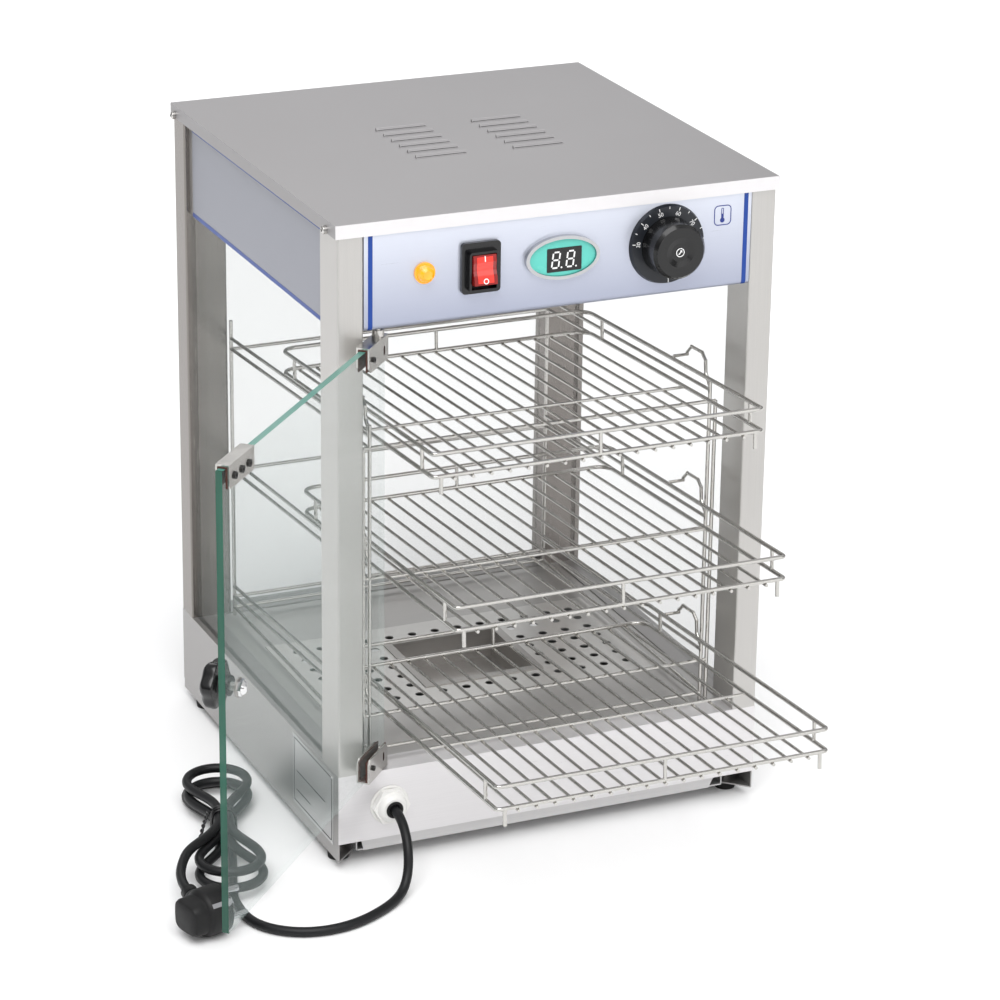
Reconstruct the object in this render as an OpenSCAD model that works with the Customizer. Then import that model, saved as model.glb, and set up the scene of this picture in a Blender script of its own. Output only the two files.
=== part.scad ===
// Countertop hot food display case with a glass door and three wire shelves.
// X to the right, Y to the back, Z up. The bench top is Z = 0. Millimetres.

/* [Cabinet] */
// Width over the corner posts, mm
case_w = 350; // [340:1:430]
// Depth over the corner posts, mm
case_d = 354; // [330:1:430]
// Height from the bench to the top of the cover, mm
case_h = 510; // [440:1:620]
// Height of the rubber feet, mm
foot_h = 8; // [6:0.5:12]
// Height of the base casing, mm
base_h = 71; // [60:1:90]
// Height of the fascia band above the door, mm
fascia_h = 82; // [70:1:110]
// Thickness of the cabinet sheet, mm
sheet = 1; // [0.8:0.1:1.5]
// Thickness of the fixed glass panes, mm
pane = 4; // [3:0.5:5]

/* [Door] */
// Gap between the door glass and each front post, mm
door_gap = 7; // [6:0.5:20]
// Thickness of the door glass, mm
door_t = 5; // [4:0.5:6]
// How far the door stands open at rest, degrees
door_open = 133; // [96:1:140]

/* [Shelves] */
// How far the top shelf is pulled out at rest, mm
pull_top = 98; // [0:1:220]
// How far the middle shelf is pulled out at rest, mm
pull_mid = 142; // [0:1:220]
// How far the bottom shelf is pulled out at rest, mm
pull_bottom = 218; // [0:1:220]
// Number of deck wires in each shelf
deck_wires = 17; // [11:1:21]

/* [Controls] */
// Diameter of the dial skirt, mm
dial_d = 61; // [50:1:66]
// Tilt of the rocker switch at rest, degrees
rocker_tilt = 9; // [6:1:12]

/* [Hidden] */

hw = case_w / 2;
hd = case_d / 2;
base_top = foot_h + base_h;
under_cover = case_h - sheet;
fascia_z = case_h - fascia_h;
gap = 0.3;

// Corner posts
fpost_x = 20;
fpost_y = 35;
bpost_x = 34;
bpost_y = 24;
recess = 4.4;
side_y0 = -hd + fpost_y;
side_y1 = hd - bpost_y;
panel_hx = hw - fpost_x;

// Cover
overhang = 1.8;
flange = 10;
louvre_l = 40;
louvre_pitch = 16;
louvres = 6;
louvre_groups = [[-36.5, 3], [42.5, 1]];
screw_y = [-hd + 17, hd - 9];
screw_z = case_h - 7.5;

// Door
door_w = case_w - 2 * (fpost_x + door_gap);
door_z0 = base_top + 3;
door_z1 = fascia_z - 8;
pivot_x = -hw + 33;
pivot_y = -hd + 4.5;
pin_r = 2.5;
edge_back = 7.5;
pad = 1;
clamp_t = 1.5;
hinge_clamp_w = 38;
hinge_clamp_h = 19;
strike_w = 42;
strike_h = 17;
strike_x = door_w - edge_back - 48;
handle_x = door_w - edge_back - 21;
handle_z = door_z0 + 176;
clamp_in = door_t / 2 + pad;

// Shelves: lower frame, upper rail and deck, tipped back by a few degrees
tilt = 3.5;
rack_x = hw - 35.5;
shelf_w = 2 * rack_x - 16;
shelf_d = case_d - 46;
rail_r = 1.6;
deck_r = 1.2;
rail_up = 17;
deck_z = -2.5;
leg_h = 13;
shut_y = -hd + 23;
bar_y = -hd + 27;
level_lo = base_top + 39.4;
level_hi = fascia_z - 94.4;
level_z = [level_hi, level_lo + (level_hi - level_lo) * 0.5186, level_lo];
pulls = [pull_top, pull_mid, pull_bottom];

// Rack
rack_r = 1.5;
rack_back = hd - 28;
bar_z = deck_z - deck_r - rack_r - 0.3;

// Floor
hole_r = 3.5;
hole_px = 20;
hole_py = 18.8;
hole_n = floor((hw - 47) / hole_px);
foot_y = hd - 27;
well = [-45, 45, -43, 40];

// Controls
lamp_x = -108;
ctl_z = case_h - 42.5;
switch_x = -64.7;
dial_x = 85;
panel_y = -hd;
switch_w = 30.5;
switch_h = 38.5;
switch_z = ctl_z - 0.2;
rocker_x = switch_x + 0.3;
rocker_z = switch_z - 1.7;
display_z = ctl_z;

// Supply
gland_x = -134;
gland_z = 50;
cord_r = 3.7;
cord_dy = 177 - hd;
hank_a = [-258, -169 + cord_dy];
hank_b = [-218, -23 + cord_dy];
hank_r = 28;
hank_h = 30;
plug_c = [-302, -234 + cord_dy, 19];
plug_turn = 15;

steel = [0.76, 0.76, 0.75];
bright = [0.86, 0.85, 0.85];
dark = [0.12, 0.12, 0.13];
clear = [0.7, 0.85, 0.82, 0.4];
wire = [0.8, 0.8, 0.79];

module block(x0, x1, y0, y1, z0, z1) {
    translate([x0, y0, z0])
        cube([x1 - x0, y1 - y0, z1 - z0]);
}

module rect_round(x0, x1, y0, y1, r) {
    union() {
        translate([x0 + r, y0]) square([x1 - x0 - 2 * r, y1 - y0]);
        translate([x0, y0 + r]) square([x1 - x0, y1 - y0 - 2 * r]);
        for (x = [x0 + r, x1 - r], y = [y0 + r, y1 - r])
            translate([x, y]) circle(r = r, $fn = 32);
    }
}

module rod(a, b, r, n = 24) {
    v = b - a;
    l = norm(v);
    translate(a)
        rotate([0, acos(v[2] / l), atan2(v[1], v[0])])
            cylinder(r = r, h = l, $fn = n);
}

module xrod(x0, x1, y, z, r) {
    translate([x0, y, z]) rotate([0, 90, 0])
        cylinder(r = r, h = x1 - x0, $fn = 24);
}

module yrod(x, y0, y1, z, r) {
    translate([x, y0, z]) rotate([-90, 0, 0])
        cylinder(r = r, h = y1 - y0, $fn = 24);
}

module zrod(x, y, z0, z1, r) {
    translate([x, y, z0]) cylinder(r = r, h = z1 - z0, $fn = 24);
}

module both_sides() {
    children();
    mirror([1, 0, 0]) children();
}

// ---------- cover ----------
module louvre_cut(x, y) {
    block(x - louvre_l / 2, x + louvre_l / 2, y - 1.6, y + 1.6,
        case_h - 3, case_h + 1);
}

module louvre_hood(x, y) {
    translate([x - louvre_l / 2 - 0.6, y + 1.2, case_h - sheet])
        rotate([0, 90, 0])
            intersection() {
                difference() {
                    cylinder(r = 3.2, h = louvre_l + 1.2, $fn = 32);
                    translate([0, 0, 0.6])
                        cylinder(r = 2.5, h = louvre_l, $fn = 32);
                }
                translate([-4, -4, 0]) cube([4, 4, louvre_l + 1.2]);
            }
}

module top_cover() {
    o = overhang;
    color(steel)
        difference() {
            union() {
                difference() {
                    block(-hw - o, hw + o, -hd - o, hd + o,
                        case_h - flange, case_h);
                    block(-hw - o + sheet, hw + o - sheet,
                        -hd - o + sheet, hd + o - sheet,
                        case_h - flange - 1, case_h - sheet);
                }
                for (g = louvre_groups, i = [0:louvres - 1])
                    louvre_hood(g[0], g[1] + (i - 2.5) * louvre_pitch);
            }
            for (g = louvre_groups, i = [0:louvres - 1])
                louvre_cut(g[0], g[1] + (i - 2.5) * louvre_pitch);
            for (y = screw_y)
                xrod(-hw - 5, hw + 5, y, screw_z, 1.7);
        }
}

module cover_screws() {
    color(steel)
        both_sides()
            for (y = screw_y) {
                xrod(hw + overhang, hw + overhang + 2.2, y, screw_z, 3.2);
                xrod(hw - 4, hw + overhang, y, screw_z, 1.5);
            }
}

// ---------- posts ----------
module tube_post(x0, x1, y0, y1, y_screw) {
    difference() {
        translate([0, 0, base_top])
            linear_extrude(under_cover - base_top)
                difference() {
                    rect_round(x0, x1, y0, y1, 1.5);
                    rect_round(x0 + sheet, x1 - sheet, y0 + sheet,
                        y1 - sheet, 0.6);
                }
        xrod(hw - 5, hw + 5, y_screw, screw_z, 1.52);
    }
}

module posts_front() {
    color(steel)
        both_sides()
            tube_post(hw - fpost_x, hw, -hd, side_y0, screw_y[0]);
}

module posts_back() {
    color(steel)
        both_sides()
            tube_post(hw - bpost_x, hw, side_y1, hd, screw_y[1]);
}

// ---------- fascias ----------
module control_panel() {
    px = panel_hx - gap;
    r = 4;
    color(bright)
        difference() {
            union() {
                block(-px, px, -hd, -hd + sheet, fascia_z + r, under_cover - 2);
                block(-px, px, -hd + sheet, -hd + 16,
                    under_cover - 2 - sheet, under_cover - 2);
                block(-px, px, -hd + r, -hd + 28, fascia_z,
                    fascia_z + sheet);
                block(-px, px, -hd + 27, -hd + 28, fascia_z + sheet,
                    fascia_z + 9);
                translate([-px, -hd + r, fascia_z + r])
                    rotate([0, 90, 0])
                        intersection() {
                            difference() {
                                cylinder(r = r, h = 2 * px, $fn = 32);
                                translate([0, 0, -1])
                                    cylinder(r = r - sheet, h = 2 * px + 2,
                                        $fn = 32);
                            }
                            translate([0, -r, 0]) cube([r, r, 2 * px]);
                        }
            }
            yrod(lamp_x, -hd - 1, -hd + 3, ctl_z, 6.1);
            block(switch_x - 11, switch_x + 11, -hd - 1, -hd + 3,
                switch_z - 15, switch_z + 15);
            block(-19, 19, -hd - 1, -hd + 3, display_z - 11, display_z + 11);
            yrod(dial_x, -hd - 1, -hd + 3, ctl_z, 4);
            zrod(pivot_x, pivot_y, fascia_z - 2, fascia_z + 6, pin_r + 0.05);
        }
}

module side_fascia() {
    x = hw - recess;
    block(x - sheet, x, side_y0, side_y1, fascia_z - 3, under_cover);
    block(x - 10, x - sheet, side_y0, side_y1, under_cover - sheet,
        under_cover);
}

module fascia_left() {
    color(steel) mirror([1, 0, 0]) side_fascia();
}

module fascia_right() {
    color(steel) side_fascia();
}

module fascia_back() {
    y = hd - 6.4;
    x = hw - bpost_x;
    color(steel) {
        block(-x, x, y - sheet, y, fascia_z - 3, under_cover);
        block(-x, x, y - 12, y - sheet, under_cover - sheet, under_cover);
    }
}

module ceiling() {
    x = hw - recess - sheet;
    color(steel)
        difference() {
            block(-x, x, -hd + 28 + gap, hd - 6.4 - sheet,
                fascia_z + sheet, fascia_z + 2 * sheet);
            both_sides() {
                block(hw - fpost_x, hw, -hd, side_y0, 0, case_h);
                block(hw - bpost_x, hw, side_y1, hd, 0, case_h);
            }
            for (x = [-60:20:60])
                zrod(x, 60, fascia_z, fascia_z + 6, 4);
        }
}

// ---------- fixed glass ----------
module side_pane() {
    x = hw - recess;
    block(x - pane, x, side_y0, side_y1, base_top, fascia_z - 3);
}

module glass_left() {
    color(clear) mirror([1, 0, 0]) side_pane();
}

module glass_right() {
    color(clear) side_pane();
}

module glass_back() {
    x = hw - bpost_x;
    y = hd - 6.4;
    color(clear) block(-x, x, y - pane, y, base_top, fascia_z - 3);
}

// ---------- base ----------
module base_front() {
    color(bright)
        difference() {
            union() {
                block(-hw, hw, -hd, -hd + sheet, foot_h + 15, base_top);
                block(-hw + fpost_x, hw - fpost_x, -hd + sheet, -hd + 24,
                    base_top - sheet, base_top);
                block(-hw + 22, hw - 32, -hd + sheet, -hd + 9,
                    foot_h + 15, foot_h + 15 + sheet);
            }
            yrod(gland_x, -hd - 1, -hd + 3, gland_z, 8.05);
            zrod(pivot_x, pivot_y, base_top - 3, base_top + 2, pin_r + 0.05);
        }
}

module base_side() {
    difference() {
        union() {
            block(hw - sheet, hw, -hd + sheet, hd - sheet, foot_h, base_top);
            block(hw - fpost_x, hw - sheet, -hd + sheet, hd - sheet,
                base_top - sheet, base_top);
            translate([0, 0, foot_h])
                linear_extrude(sheet)
                    polygon([
                        [hw - sheet, -hd + sheet], [hw - 20, -hd + 19],
                        [hw - 20, hd - 19], [hw - sheet, hd - sheet]
                    ]);
        }
        for (y = [-foot_y, foot_y])
            zrod(hw - 10, y, foot_h - 2, foot_h + 3, 2.1);
    }
}

module base_sides() {
    color(steel) both_sides() base_side();
}

module base_back() {
    color(steel) {
        block(-hw, hw, hd - sheet, hd, foot_h + 8, base_top);
        block(-hw + fpost_x, hw - fpost_x, hd - 24, hd - sheet,
            base_top - sheet, base_top);
    }
}

module bottom_pan() {
    z = foot_h + 4;
    x0 = -hw + 20;
    x1 = hw - 30;
    color(steel)
        difference() {
            union() {
                block(x0 - 2, x1 + 6, -hd + 7, hd - 8, z, z + sheet);
                for (x = [x0 - 3, x1 + 6])
                    block(x, x + sheet, -hd + 8, hd - 8, z,
                        base_top - 2 * sheet);
                translate([0, -hd + 7, 0])
                    rotate([90, 0, 0])
                        linear_extrude(sheet)
                            polygon([
                                [x0 + 2.5, z], [x1 - 5.5, z],
                                [x1, z + 11], [x0, z + 11]
                            ]);
            }
            for (x = [-60:15:60], y = [-30:15:30])
                zrod(x, y, z - 2, z + 3, 2.5);
        }
}

module floor_sheet() {
    color(steel)
        difference() {
            block(-hw + 2, hw - 2, -hd + 2, hd - 2, base_top - 2 * sheet,
                base_top - sheet);
            block(-hw + 42, hw - 42, -70, 67, base_top - 5, base_top + 5);
            zrod(pivot_x, pivot_y, base_top - 5, base_top + 2, pin_r + 0.05);
        }
}

module floor_plate() {
    color(steel)
        difference() {
            block(-hw + 35, hw - 35, -78, 75, base_top - sheet, base_top);
            block(well[0] - 1, well[1] + 1, well[2] - 1, well[3] + 1,
                base_top - 5, base_top + 5);
            for (i = [-hole_n:hole_n], j = [-3:3])
                if (abs(i) > 2 || abs(j) > 2)
                    zrod(i * hole_px, -1.5 + j * hole_py, base_top - 3,
                        base_top + 2, hole_r);
        }
}

module feet() {
    color(dark)
        both_sides()
            for (y = [-foot_y, foot_y])
                difference() {
                    translate([hw - 10, y, 0])
                        cylinder(r1 = 8, r2 = 9, h = foot_h, $fn = 40);
                    zrod(hw - 10, y, -1, foot_h + 1, 2.1);
                    zrod(hw - 10, y, -1, 3, 4.6);
                }
}

module foot_screws() {
    color(steel)
        both_sides()
            for (y = [-foot_y, foot_y])
                difference() {
                    union() {
                        zrod(hw - 10, y, 3, foot_h + 7, 2);
                        zrod(hw - 10, y, 1, 3, 3.9);
                    }
                    block(hw - 12.5, hw - 7.5, y - 0.5, y + 0.5, 0.5, 1.8);
                }
}

module foot_nuts() {
    color(steel)
        both_sides()
            for (y = [-foot_y, foot_y])
                difference() {
                    translate([hw - 10, y, foot_h + sheet])
                        cylinder(r = 4, h = 3.2, $fn = 6);
                    zrod(hw - 10, y, foot_h, foot_h + 6, 2.02);
                }
}

module water_tray() {
    z1 = base_top + sheet;
    w = well;
    color(bright)
        difference() {
            union() {
                block(w[0] - 6, w[1] + 6, w[2] - 6, w[3] + 6, base_top, z1);
                block(w[0], w[1], w[2], w[3], base_top - 24, z1);
            }
            block(w[0] + sheet, w[1] - sheet, w[2] + sheet, w[3] - sheet,
                base_top - 24 + sheet, z1 + 1);
        }
}

// ---------- heater and wiring blocks inside the base ----------
module heating_element() {
    z = base_top - 34;
    color([0.3, 0.29, 0.28])
        union() {
            for (y = [-45, 45])
                xrod(-70, 90, y, z, 3.25);
            translate([90, 0, z])
                rotate([0, 0, -90])
                    rotate_extrude(angle = 180, $fn = 64)
                        translate([45, 0]) circle(r = 3.25, $fn = 24);
            for (y = [-45, 45])
                xrod(-92, -70, y, z, 1.6);
        }
}

module element_clips() {
    z = base_top - 34;
    z0 = foot_h + 5;
    color(steel)
        for (x = [-50, 60], y = [-45, 45])
            difference() {
                block(x - 4, x + 4, y - 5, y + 5, z0, z + 4.5);
                block(x - 5, x + 5, y - 4, y + 4, z0 - 1, z - 4.2);
                xrod(x - 6, x + 6, y, z, 3.26);
            }
}

module terminal_block() {
    z0 = foot_h + 5;
    color(bright)
        difference() {
            block(-135, -117, -120, -84, z0, z0 + 18);
            for (y = [-114, -102, -90])
                zrod(-126, y, z0 + 9, z0 + 20, 2.6);
        }
}

module rating_plate() {
    color(bright)
        block(-hw - 0.4, -hw, -hd + 11, -hd + 96, foot_h + 10,
            base_top - 3);
}

// ---------- shelf rack ----------
function slope_z(z, y) = z - (y - bar_y) * tan(tilt);

// wire bend of an anti-tip hook, as [back, up] from the level's front bar
hook_pts = [
    [0, 12], [8, 20], [9, 30], [15, 34.5], [33, 33.5], [40, 27], [40, 25]
];

module hook(x, z) {
    n = len(hook_pts);
    for (i = [0:n - 2])
        let (
            a = [x, bar_y + hook_pts[i][0], z + hook_pts[i][1]],
            b = [x, bar_y + hook_pts[i + 1][0], z + hook_pts[i + 1][1]],
            e = (b - a) / norm(b - a) * 0.7
        )
            rod(a - (i > 0 ? e : [0, 0, 0]), b + e, rack_r - 0.05 * i, 10);
    rod([x + 0.5 * sign(x), bar_y + 40, z + 25],
        [x - 12 * sign(x), bar_y + 40, z + 25], rack_r - 0.2, 10);
}

module rack_side() {
    x = rack_x;
    top_z = level_z[0] + bar_z;
    for (dx = [0, 5])
        zrod(x + dx, bar_y, base_top - sheet, top_z + (dx > 0 ? 0 : 18),
            rack_r);
    zrod(x, rack_back, base_top - sheet, slope_z(top_z, rack_back) + 24,
        rack_r);
    for (z = level_z) {
        zb = z + bar_z;
        for (up = [0, 9])
            rod([x, bar_y, zb + up],
                [x, rack_back, slope_z(zb + up, rack_back)],
                rack_r - 0.1);
        xrod(x, x + 5, bar_y, zb, rack_r - 0.2);
    }
    yrod(x, bar_y, rack_back, base_top + 6, rack_r - 0.1);
}

module rack_left() {
    color(wire) mirror([1, 0, 0]) rack_side();
}

module rack_right() {
    color(wire) rack_side();
}

module rack_bars() {
    x = rack_x - 0.4;
    color(wire) {
        for (z = level_z) {
            xrod(-x, x, bar_y, z + bar_z, rack_r);
            xrod(-x, x, rack_back, slope_z(z + bar_z, rack_back), rack_r);
        }
        for (y = [bar_y, rack_back])
            xrod(-x, x, y, base_top + 6, rack_r);
    }
}

module rack_hooks() {
    color(wire)
        for (z = level_z, x = [-rack_x, rack_x])
            hook(x, z + bar_z);
}

// ---------- wire shelves ----------
module frame_loop(z, r, rf, rb) {
    // rectangle of round wire, corner radius rf in front and rb behind
    w = shelf_w / 2;
    d = shelf_d;
    xrod(-w + rf, w - rf, 0, z, r);
    xrod(-w + rb, w - rb, d, z, r);
    both_sides() {
        yrod(w, rf, d - rb, z, r);
        translate([w - rf, rf, z]) rotate([0, 0, -90])
            rotate_extrude(angle = 90, $fn = 32)
                translate([rf, 0]) circle(r = r, $fn = 24);
        translate([w - rb, d - rb, z])
            rotate_extrude(angle = 90, $fn = 48)
                translate([rb, 0]) circle(r = r, $fn = 24);
    }
}

module shelf_wires() {
    w = shelf_w / 2;
    d = shelf_d;
    n = deck_wires;
    color(wire)
        union() {
            frame_loop(0, rail_r, 3, 12);
            frame_loop(rail_up, rail_r, 3, 12);
            for (i = [0:n - 1]) {
                x = -w + 16 + i * (2 * w - 32) / (n - 1);
                yrod(x, -2.4, d + 1.8, deck_z, deck_r);
            }
            both_sides()
                for (y = [20, d - 30])
                    zrod(w, y, 0, rail_up, rail_r - 0.2);
            zrod(0, 0, 0, rail_up, rail_r - 0.2);
            zrod(0, d, 0, rail_up, rail_r - 0.2);
            both_sides() zrod(w - 6, 0, -leg_h, 0, rail_r - 0.1);
            xrod(-w, w, d * 0.42, deck_z + 2.2, deck_r);
        }
}

module shelf_at(i) {
    z = level_z[i];
    translate([0, bar_y, z]) rotate([-tilt, 0, 0])
        translate([0, shut_y - bar_y - pulls[i], 0])
            shelf_wires();
}

module shelf_top() {
    shelf_at(0);
}

module shelf_middle() {
    shelf_at(1);
}

module shelf_bottom() {
    shelf_at(2);
}

// ---------- controls ----------
module heat_lamp() {
    color([1, 0.62, 0.1])
        translate([lamp_x, panel_y, ctl_z])
            rotate([90, 0, 0])
                union() {
                    cylinder(r = 8, h = 1.6, $fn = 48);
                    translate([0, 0, 1.6]) cylinder(r1 = 6.8, r2 = 5.6,
                        h = 4, $fn = 48);
                    translate([0, 0, 5.6]) cylinder(r1 = 5.6, r2 = 3.4,
                        h = 1.6, $fn = 48);
                }
}

module lamp_body() {
    color(dark) {
        yrod(lamp_x, panel_y, panel_y + 26, ctl_z, 6);
        yrod(lamp_x, panel_y + sheet, panel_y + 4, ctl_z, 8);
    }
}

module switch_housing() {
    x0 = switch_x - switch_w / 2;
    x1 = switch_x + switch_w / 2;
    z0 = switch_z - switch_h / 2;
    z1 = switch_z + switch_h / 2;
    color(dark)
        difference() {
            union() {
                translate([0, panel_y, 0]) rotate([90, 0, 0])
                    linear_extrude(3.2)
                        rect_round(x0, x1, z0, z1, 3);
                translate([0, panel_y - 3, 0]) rotate([90, 0, 0])
                    linear_extrude(5)
                        rect_round(x0 + 4, x1 - 2.6, z0 + 2.5, z1 - 6, 2.5);
                block(switch_x - 10.8, switch_x + 10.8, panel_y,
                    panel_y + 24, switch_z - 14.8, switch_z + 14.8);
            }
            block(switch_x - 9.5, switch_x + 10.1, panel_y - 9,
                panel_y - 0.6, switch_z - 15, switch_z + 11.6);
            block(switch_x - 9.2, switch_x + 9.8, panel_y - 1,
                panel_y + 8, switch_z - 13.4, switch_z + 10.2);
            xrod(rocker_x - 10.1, rocker_x + 10.1, panel_y + 1, rocker_z,
                1.6);
        }
}

module rocker() {
    color([0.85, 0.1, 0.08])
        translate([rocker_x, panel_y + 1, rocker_z])
            rotate([-rocker_tilt, 0, 0])
                union() {
                    difference() {
                        block(-9, 9, -11.5, 0, -11, 11);
                        translate([-10, -23.5, 0]) rotate([0, 90, 0])
                            cylinder(r = 13.2, h = 20, $fn = 64);
                    }
                    xrod(-10, 10, 0, 0, 1.5);
                }
}

module oval(w, h, t) {
    scale([w / h, 1, 1]) cylinder(r = h / 2, h = t, $fn = 72);
}

module display_bezel() {
    color(bright)
        translate([0, panel_y, display_z]) rotate([90, 0, 0])
            difference() {
                oval(59, 33, 4);
                translate([0, 0, -1]) oval(53.5, 28, 6);
            }
}

module display_window() {
    color([0.36, 0.78, 0.73])
        translate([0, panel_y, display_z]) rotate([90, 0, 0])
            oval(53.3, 27.8, 2);
}

module display_module() {
    color(dark)
        block(-18.8, 18.8, panel_y, panel_y + 18, display_z - 10.8,
            display_z + 10.8);
}

module dial_skirt() {
    color(dark)
        translate([dial_x, panel_y, ctl_z]) rotate([90, 0, 0])
            difference() {
                cylinder(r1 = dial_d / 2, r2 = dial_d / 2 - 1.2, h = 3.4,
                    $fn = 72);
                translate([0, 0, -1]) cylinder(r = 3.05, h = 6, $fn = 32);
            }
}

module dial_knob() {
    color(dark)
        translate([dial_x, panel_y - 3.7, ctl_z]) rotate([90, 0, 0])
            difference() {
                union() {
                    cylinder(r1 = 21.8, r2 = 21, h = 18, $fn = 72);
                    translate([0, 0, 18]) cylinder(r1 = 21, r2 = 18.8,
                        h = 2.8, $fn = 72);
                }
                translate([0, 0, 19.6]) cylinder(r1 = 7, r2 = 14, h = 2,
                    $fn = 48);
                translate([0, 0, -1]) cylinder(r = 3, h = 13, $fn = 32);
            }
}

module dial_shaft() {
    color(steel)
        yrod(dial_x, panel_y - 15.6, panel_y + 30, ctl_z, 3);
}

module thermostat() {
    color(steel)
        difference() {
            union() {
                block(dial_x - 17, dial_x + 17, panel_y + 12, panel_y + 44,
                    ctl_z - 17, ctl_z + 17);
                yrod(dial_x, panel_y + sheet, panel_y + 12, ctl_z, 7);
            }
            yrod(dial_x, panel_y, panel_y + 31, ctl_z, 3.05);
        }
}

module magnet_catch() {
    color(dark)
        block(hw - 63, hw - 39, -hd + 11, -hd + 23, fascia_z + sheet,
            fascia_z + 9);
}

// ---------- cable gland ----------
module gland_nut(y, r, h, dir) {
    translate([gland_x, y, gland_z]) rotate([dir * 90, 0, 0])
        difference() {
            cylinder(r = r, h = h, $fn = 6);
            translate([0, 0, -1]) cylinder(r = 8.05, h = h + 2, $fn = 40);
        }
}

module gland_nuts() {
    color(bright) {
        gland_nut(-hd, 15, 6, 1);
        gland_nut(-hd + sheet, 13, 5, -1);
    }
}

module gland_dome() {
    color(bright)
        translate([gland_x, -hd, gland_z]) rotate([90, 0, 0])
            difference() {
                union() {
                    translate([0, 0, -14]) cylinder(r = 8, h = 20,
                        $fn = 40);
                    translate([0, 0, 6]) cylinder(r1 = 12, r2 = 10.6,
                        h = 3, $fn = 40);
                    translate([0, 0, 9]) cylinder(r1 = 10.6, r2 = 8.6,
                        h = 2, $fn = 40);
                }
                translate([0, 0, -15]) cylinder(r = cord_r + 0.3, h = 36,
                    $fn = 32);
            }
}

// ---------- door, drawn shut with its pivot at the origin ----------
module on_door() {
    translate([pivot_x, pivot_y, 0]) rotate([0, 0, -door_open])
        children();
}

module door_glass() {
    color(clear)
        on_door()
            difference() {
                block(-edge_back, door_w - edge_back, -door_t / 2,
                    door_t / 2, door_z0, door_z1);
                yrod(handle_x, -5, 5, handle_z, 4);
            }
}

module u_section(x0, x1, z_out, h, dir, cut) {
    // a U of sheet around the glass edge; dir 1 closes above, -1 below
    ci = clamp_in;
    co = clamp_in + clamp_t;
    za = z_out;
    difference() {
        translate([x0, co, za]) rotate([90, 0, 0])
            linear_extrude(2 * co)
                polygon([
                    [0, 0], [x1 - x0, 0], [x1 - x0, -dir * (h - cut)],
                    [x1 - x0 - cut, -dir * h], [cut, -dir * h],
                    [0, -dir * (h - cut)]
                ]);
        translate([0, 0, za - dir * clamp_t - (dir > 0 ? h : 0)])
            block(x0 - 1, x1 + 1, -ci, ci, 0, h);
    }
}

module hinge_clamp(dir, z_out) {
    x0 = -edge_back - 0.5;
    difference() {
        u_section(x0, x0 + hinge_clamp_w, z_out, hinge_clamp_h, dir, 3.5);
        yrod(x0 + 30, 0, 9, z_out - dir * 10.5, 2.05);
        for (dz = [-2, 2])
            yrod(x0 + 8, clamp_in - 1, 9, z_out - dir * 10.5 + dz, 1.5);
        block(x0 + 6.5, x0 + 9.5, clamp_in - 1, 9, z_out - dir * 10.5 - 2,
            z_out - dir * 10.5 + 2);
    }
}

module hinge_clamps() {
    color(steel)
        on_door() {
            hinge_clamp(1, door_z1 + pad + clamp_t);
            hinge_clamp(-1, door_z0 - pad - clamp_t);
        }
}

module hinge_pins() {
    zt = door_z1 + pad + clamp_t;
    zb = door_z0 - pad - clamp_t;
    color(steel)
        on_door() {
            zrod(0, 0, zt, fascia_z + 2.5, pin_r);
            zrod(0, 0, zt, fascia_z - 0.4, pin_r + 2);
            zrod(0, 0, base_top - 4, zb, pin_r);
        }
}

module strike_clamp() {
    z = door_z1 + pad + clamp_t;
    color(steel)
        on_door()
            difference() {
                u_section(strike_x, strike_x + strike_w, z, strike_h, 1, 2);
                for (x = [9, 21, 33])
                    yrod(strike_x + x, 0, 9, z - 9.5, 1.55);
            }
}

module pad_u(x0, x1, z_edge, h, dir) {
    z_out = z_edge + dir * pad;
    difference() {
        block(x0, x1, -clamp_in, clamp_in, min(z_out, z_out - dir * h),
            max(z_out, z_out - dir * h));
        block(x0 - 1, x1 + 1, -door_t / 2, door_t / 2,
            min(z_edge, z_edge - dir * h * 2),
            max(z_edge, z_edge - dir * h * 2));
    }
}

module clamp_pads() {
    x0 = -edge_back - 1.2;
    color([0.25, 0.1, 0.08])
        on_door() {
            pad_u(x0, x0 + hinge_clamp_w + 1.4, door_z1,
                hinge_clamp_h - 2.5, 1);
            pad_u(x0, x0 + hinge_clamp_w + 1.4, door_z0,
                hinge_clamp_h - 2.5, -1);
            pad_u(strike_x - 0.7, strike_x + strike_w + 0.7, door_z1,
                strike_h - 2, 1);
        }
}

module clamp_screws() {
    zt = door_z1 + pad + clamp_t;
    zb = door_z0 - pad - clamp_t;
    x = -edge_back - 0.5 + 30;
    color(dark)
        on_door() {
            for (z = [zt - 10.5, zb + 10.5])
                difference() {
                    yrod(x, clamp_in, clamp_in + 3, z, 2);
                    yrod(x, clamp_in + 1.8, clamp_in + 4, z, 1);
                }
            for (k = [9, 21, 33])
                difference() {
                    union() {
                        yrod(strike_x + k, clamp_in, clamp_in + clamp_t,
                            zt - 9.5, 1.5);
                        yrod(strike_x + k, clamp_in + clamp_t,
                            clamp_in + clamp_t + 1.3, zt - 9.5, 2.6);
                    }
                    yrod(strike_x + k, clamp_in + clamp_t + 0.5,
                        clamp_in + clamp_t + 2, zt - 9.5, 1);
                }
        }
}

module handle_knob() {
    color(dark)
        on_door()
            difference() {
                translate([handle_x, -door_t / 2, handle_z])
                    rotate([90, 0, 0])
                        union() {
                            cylinder(r = 7.4, h = 8, $fn = 40);
                            translate([0, 0, 7])
                                linear_extrude(10)
                                    union() {
                                        circle(r = 15.3, $fn = 48);
                                        for (a = [0:60:300])
                                            rotate([0, 0, a + 7])
                                                translate([11.5, 0])
                                                    circle(r = 6,
                                                        $fn = 32);
                                    }
                        }
                yrod(handle_x, -16, 0, handle_z, 3);
            }
}

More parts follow.
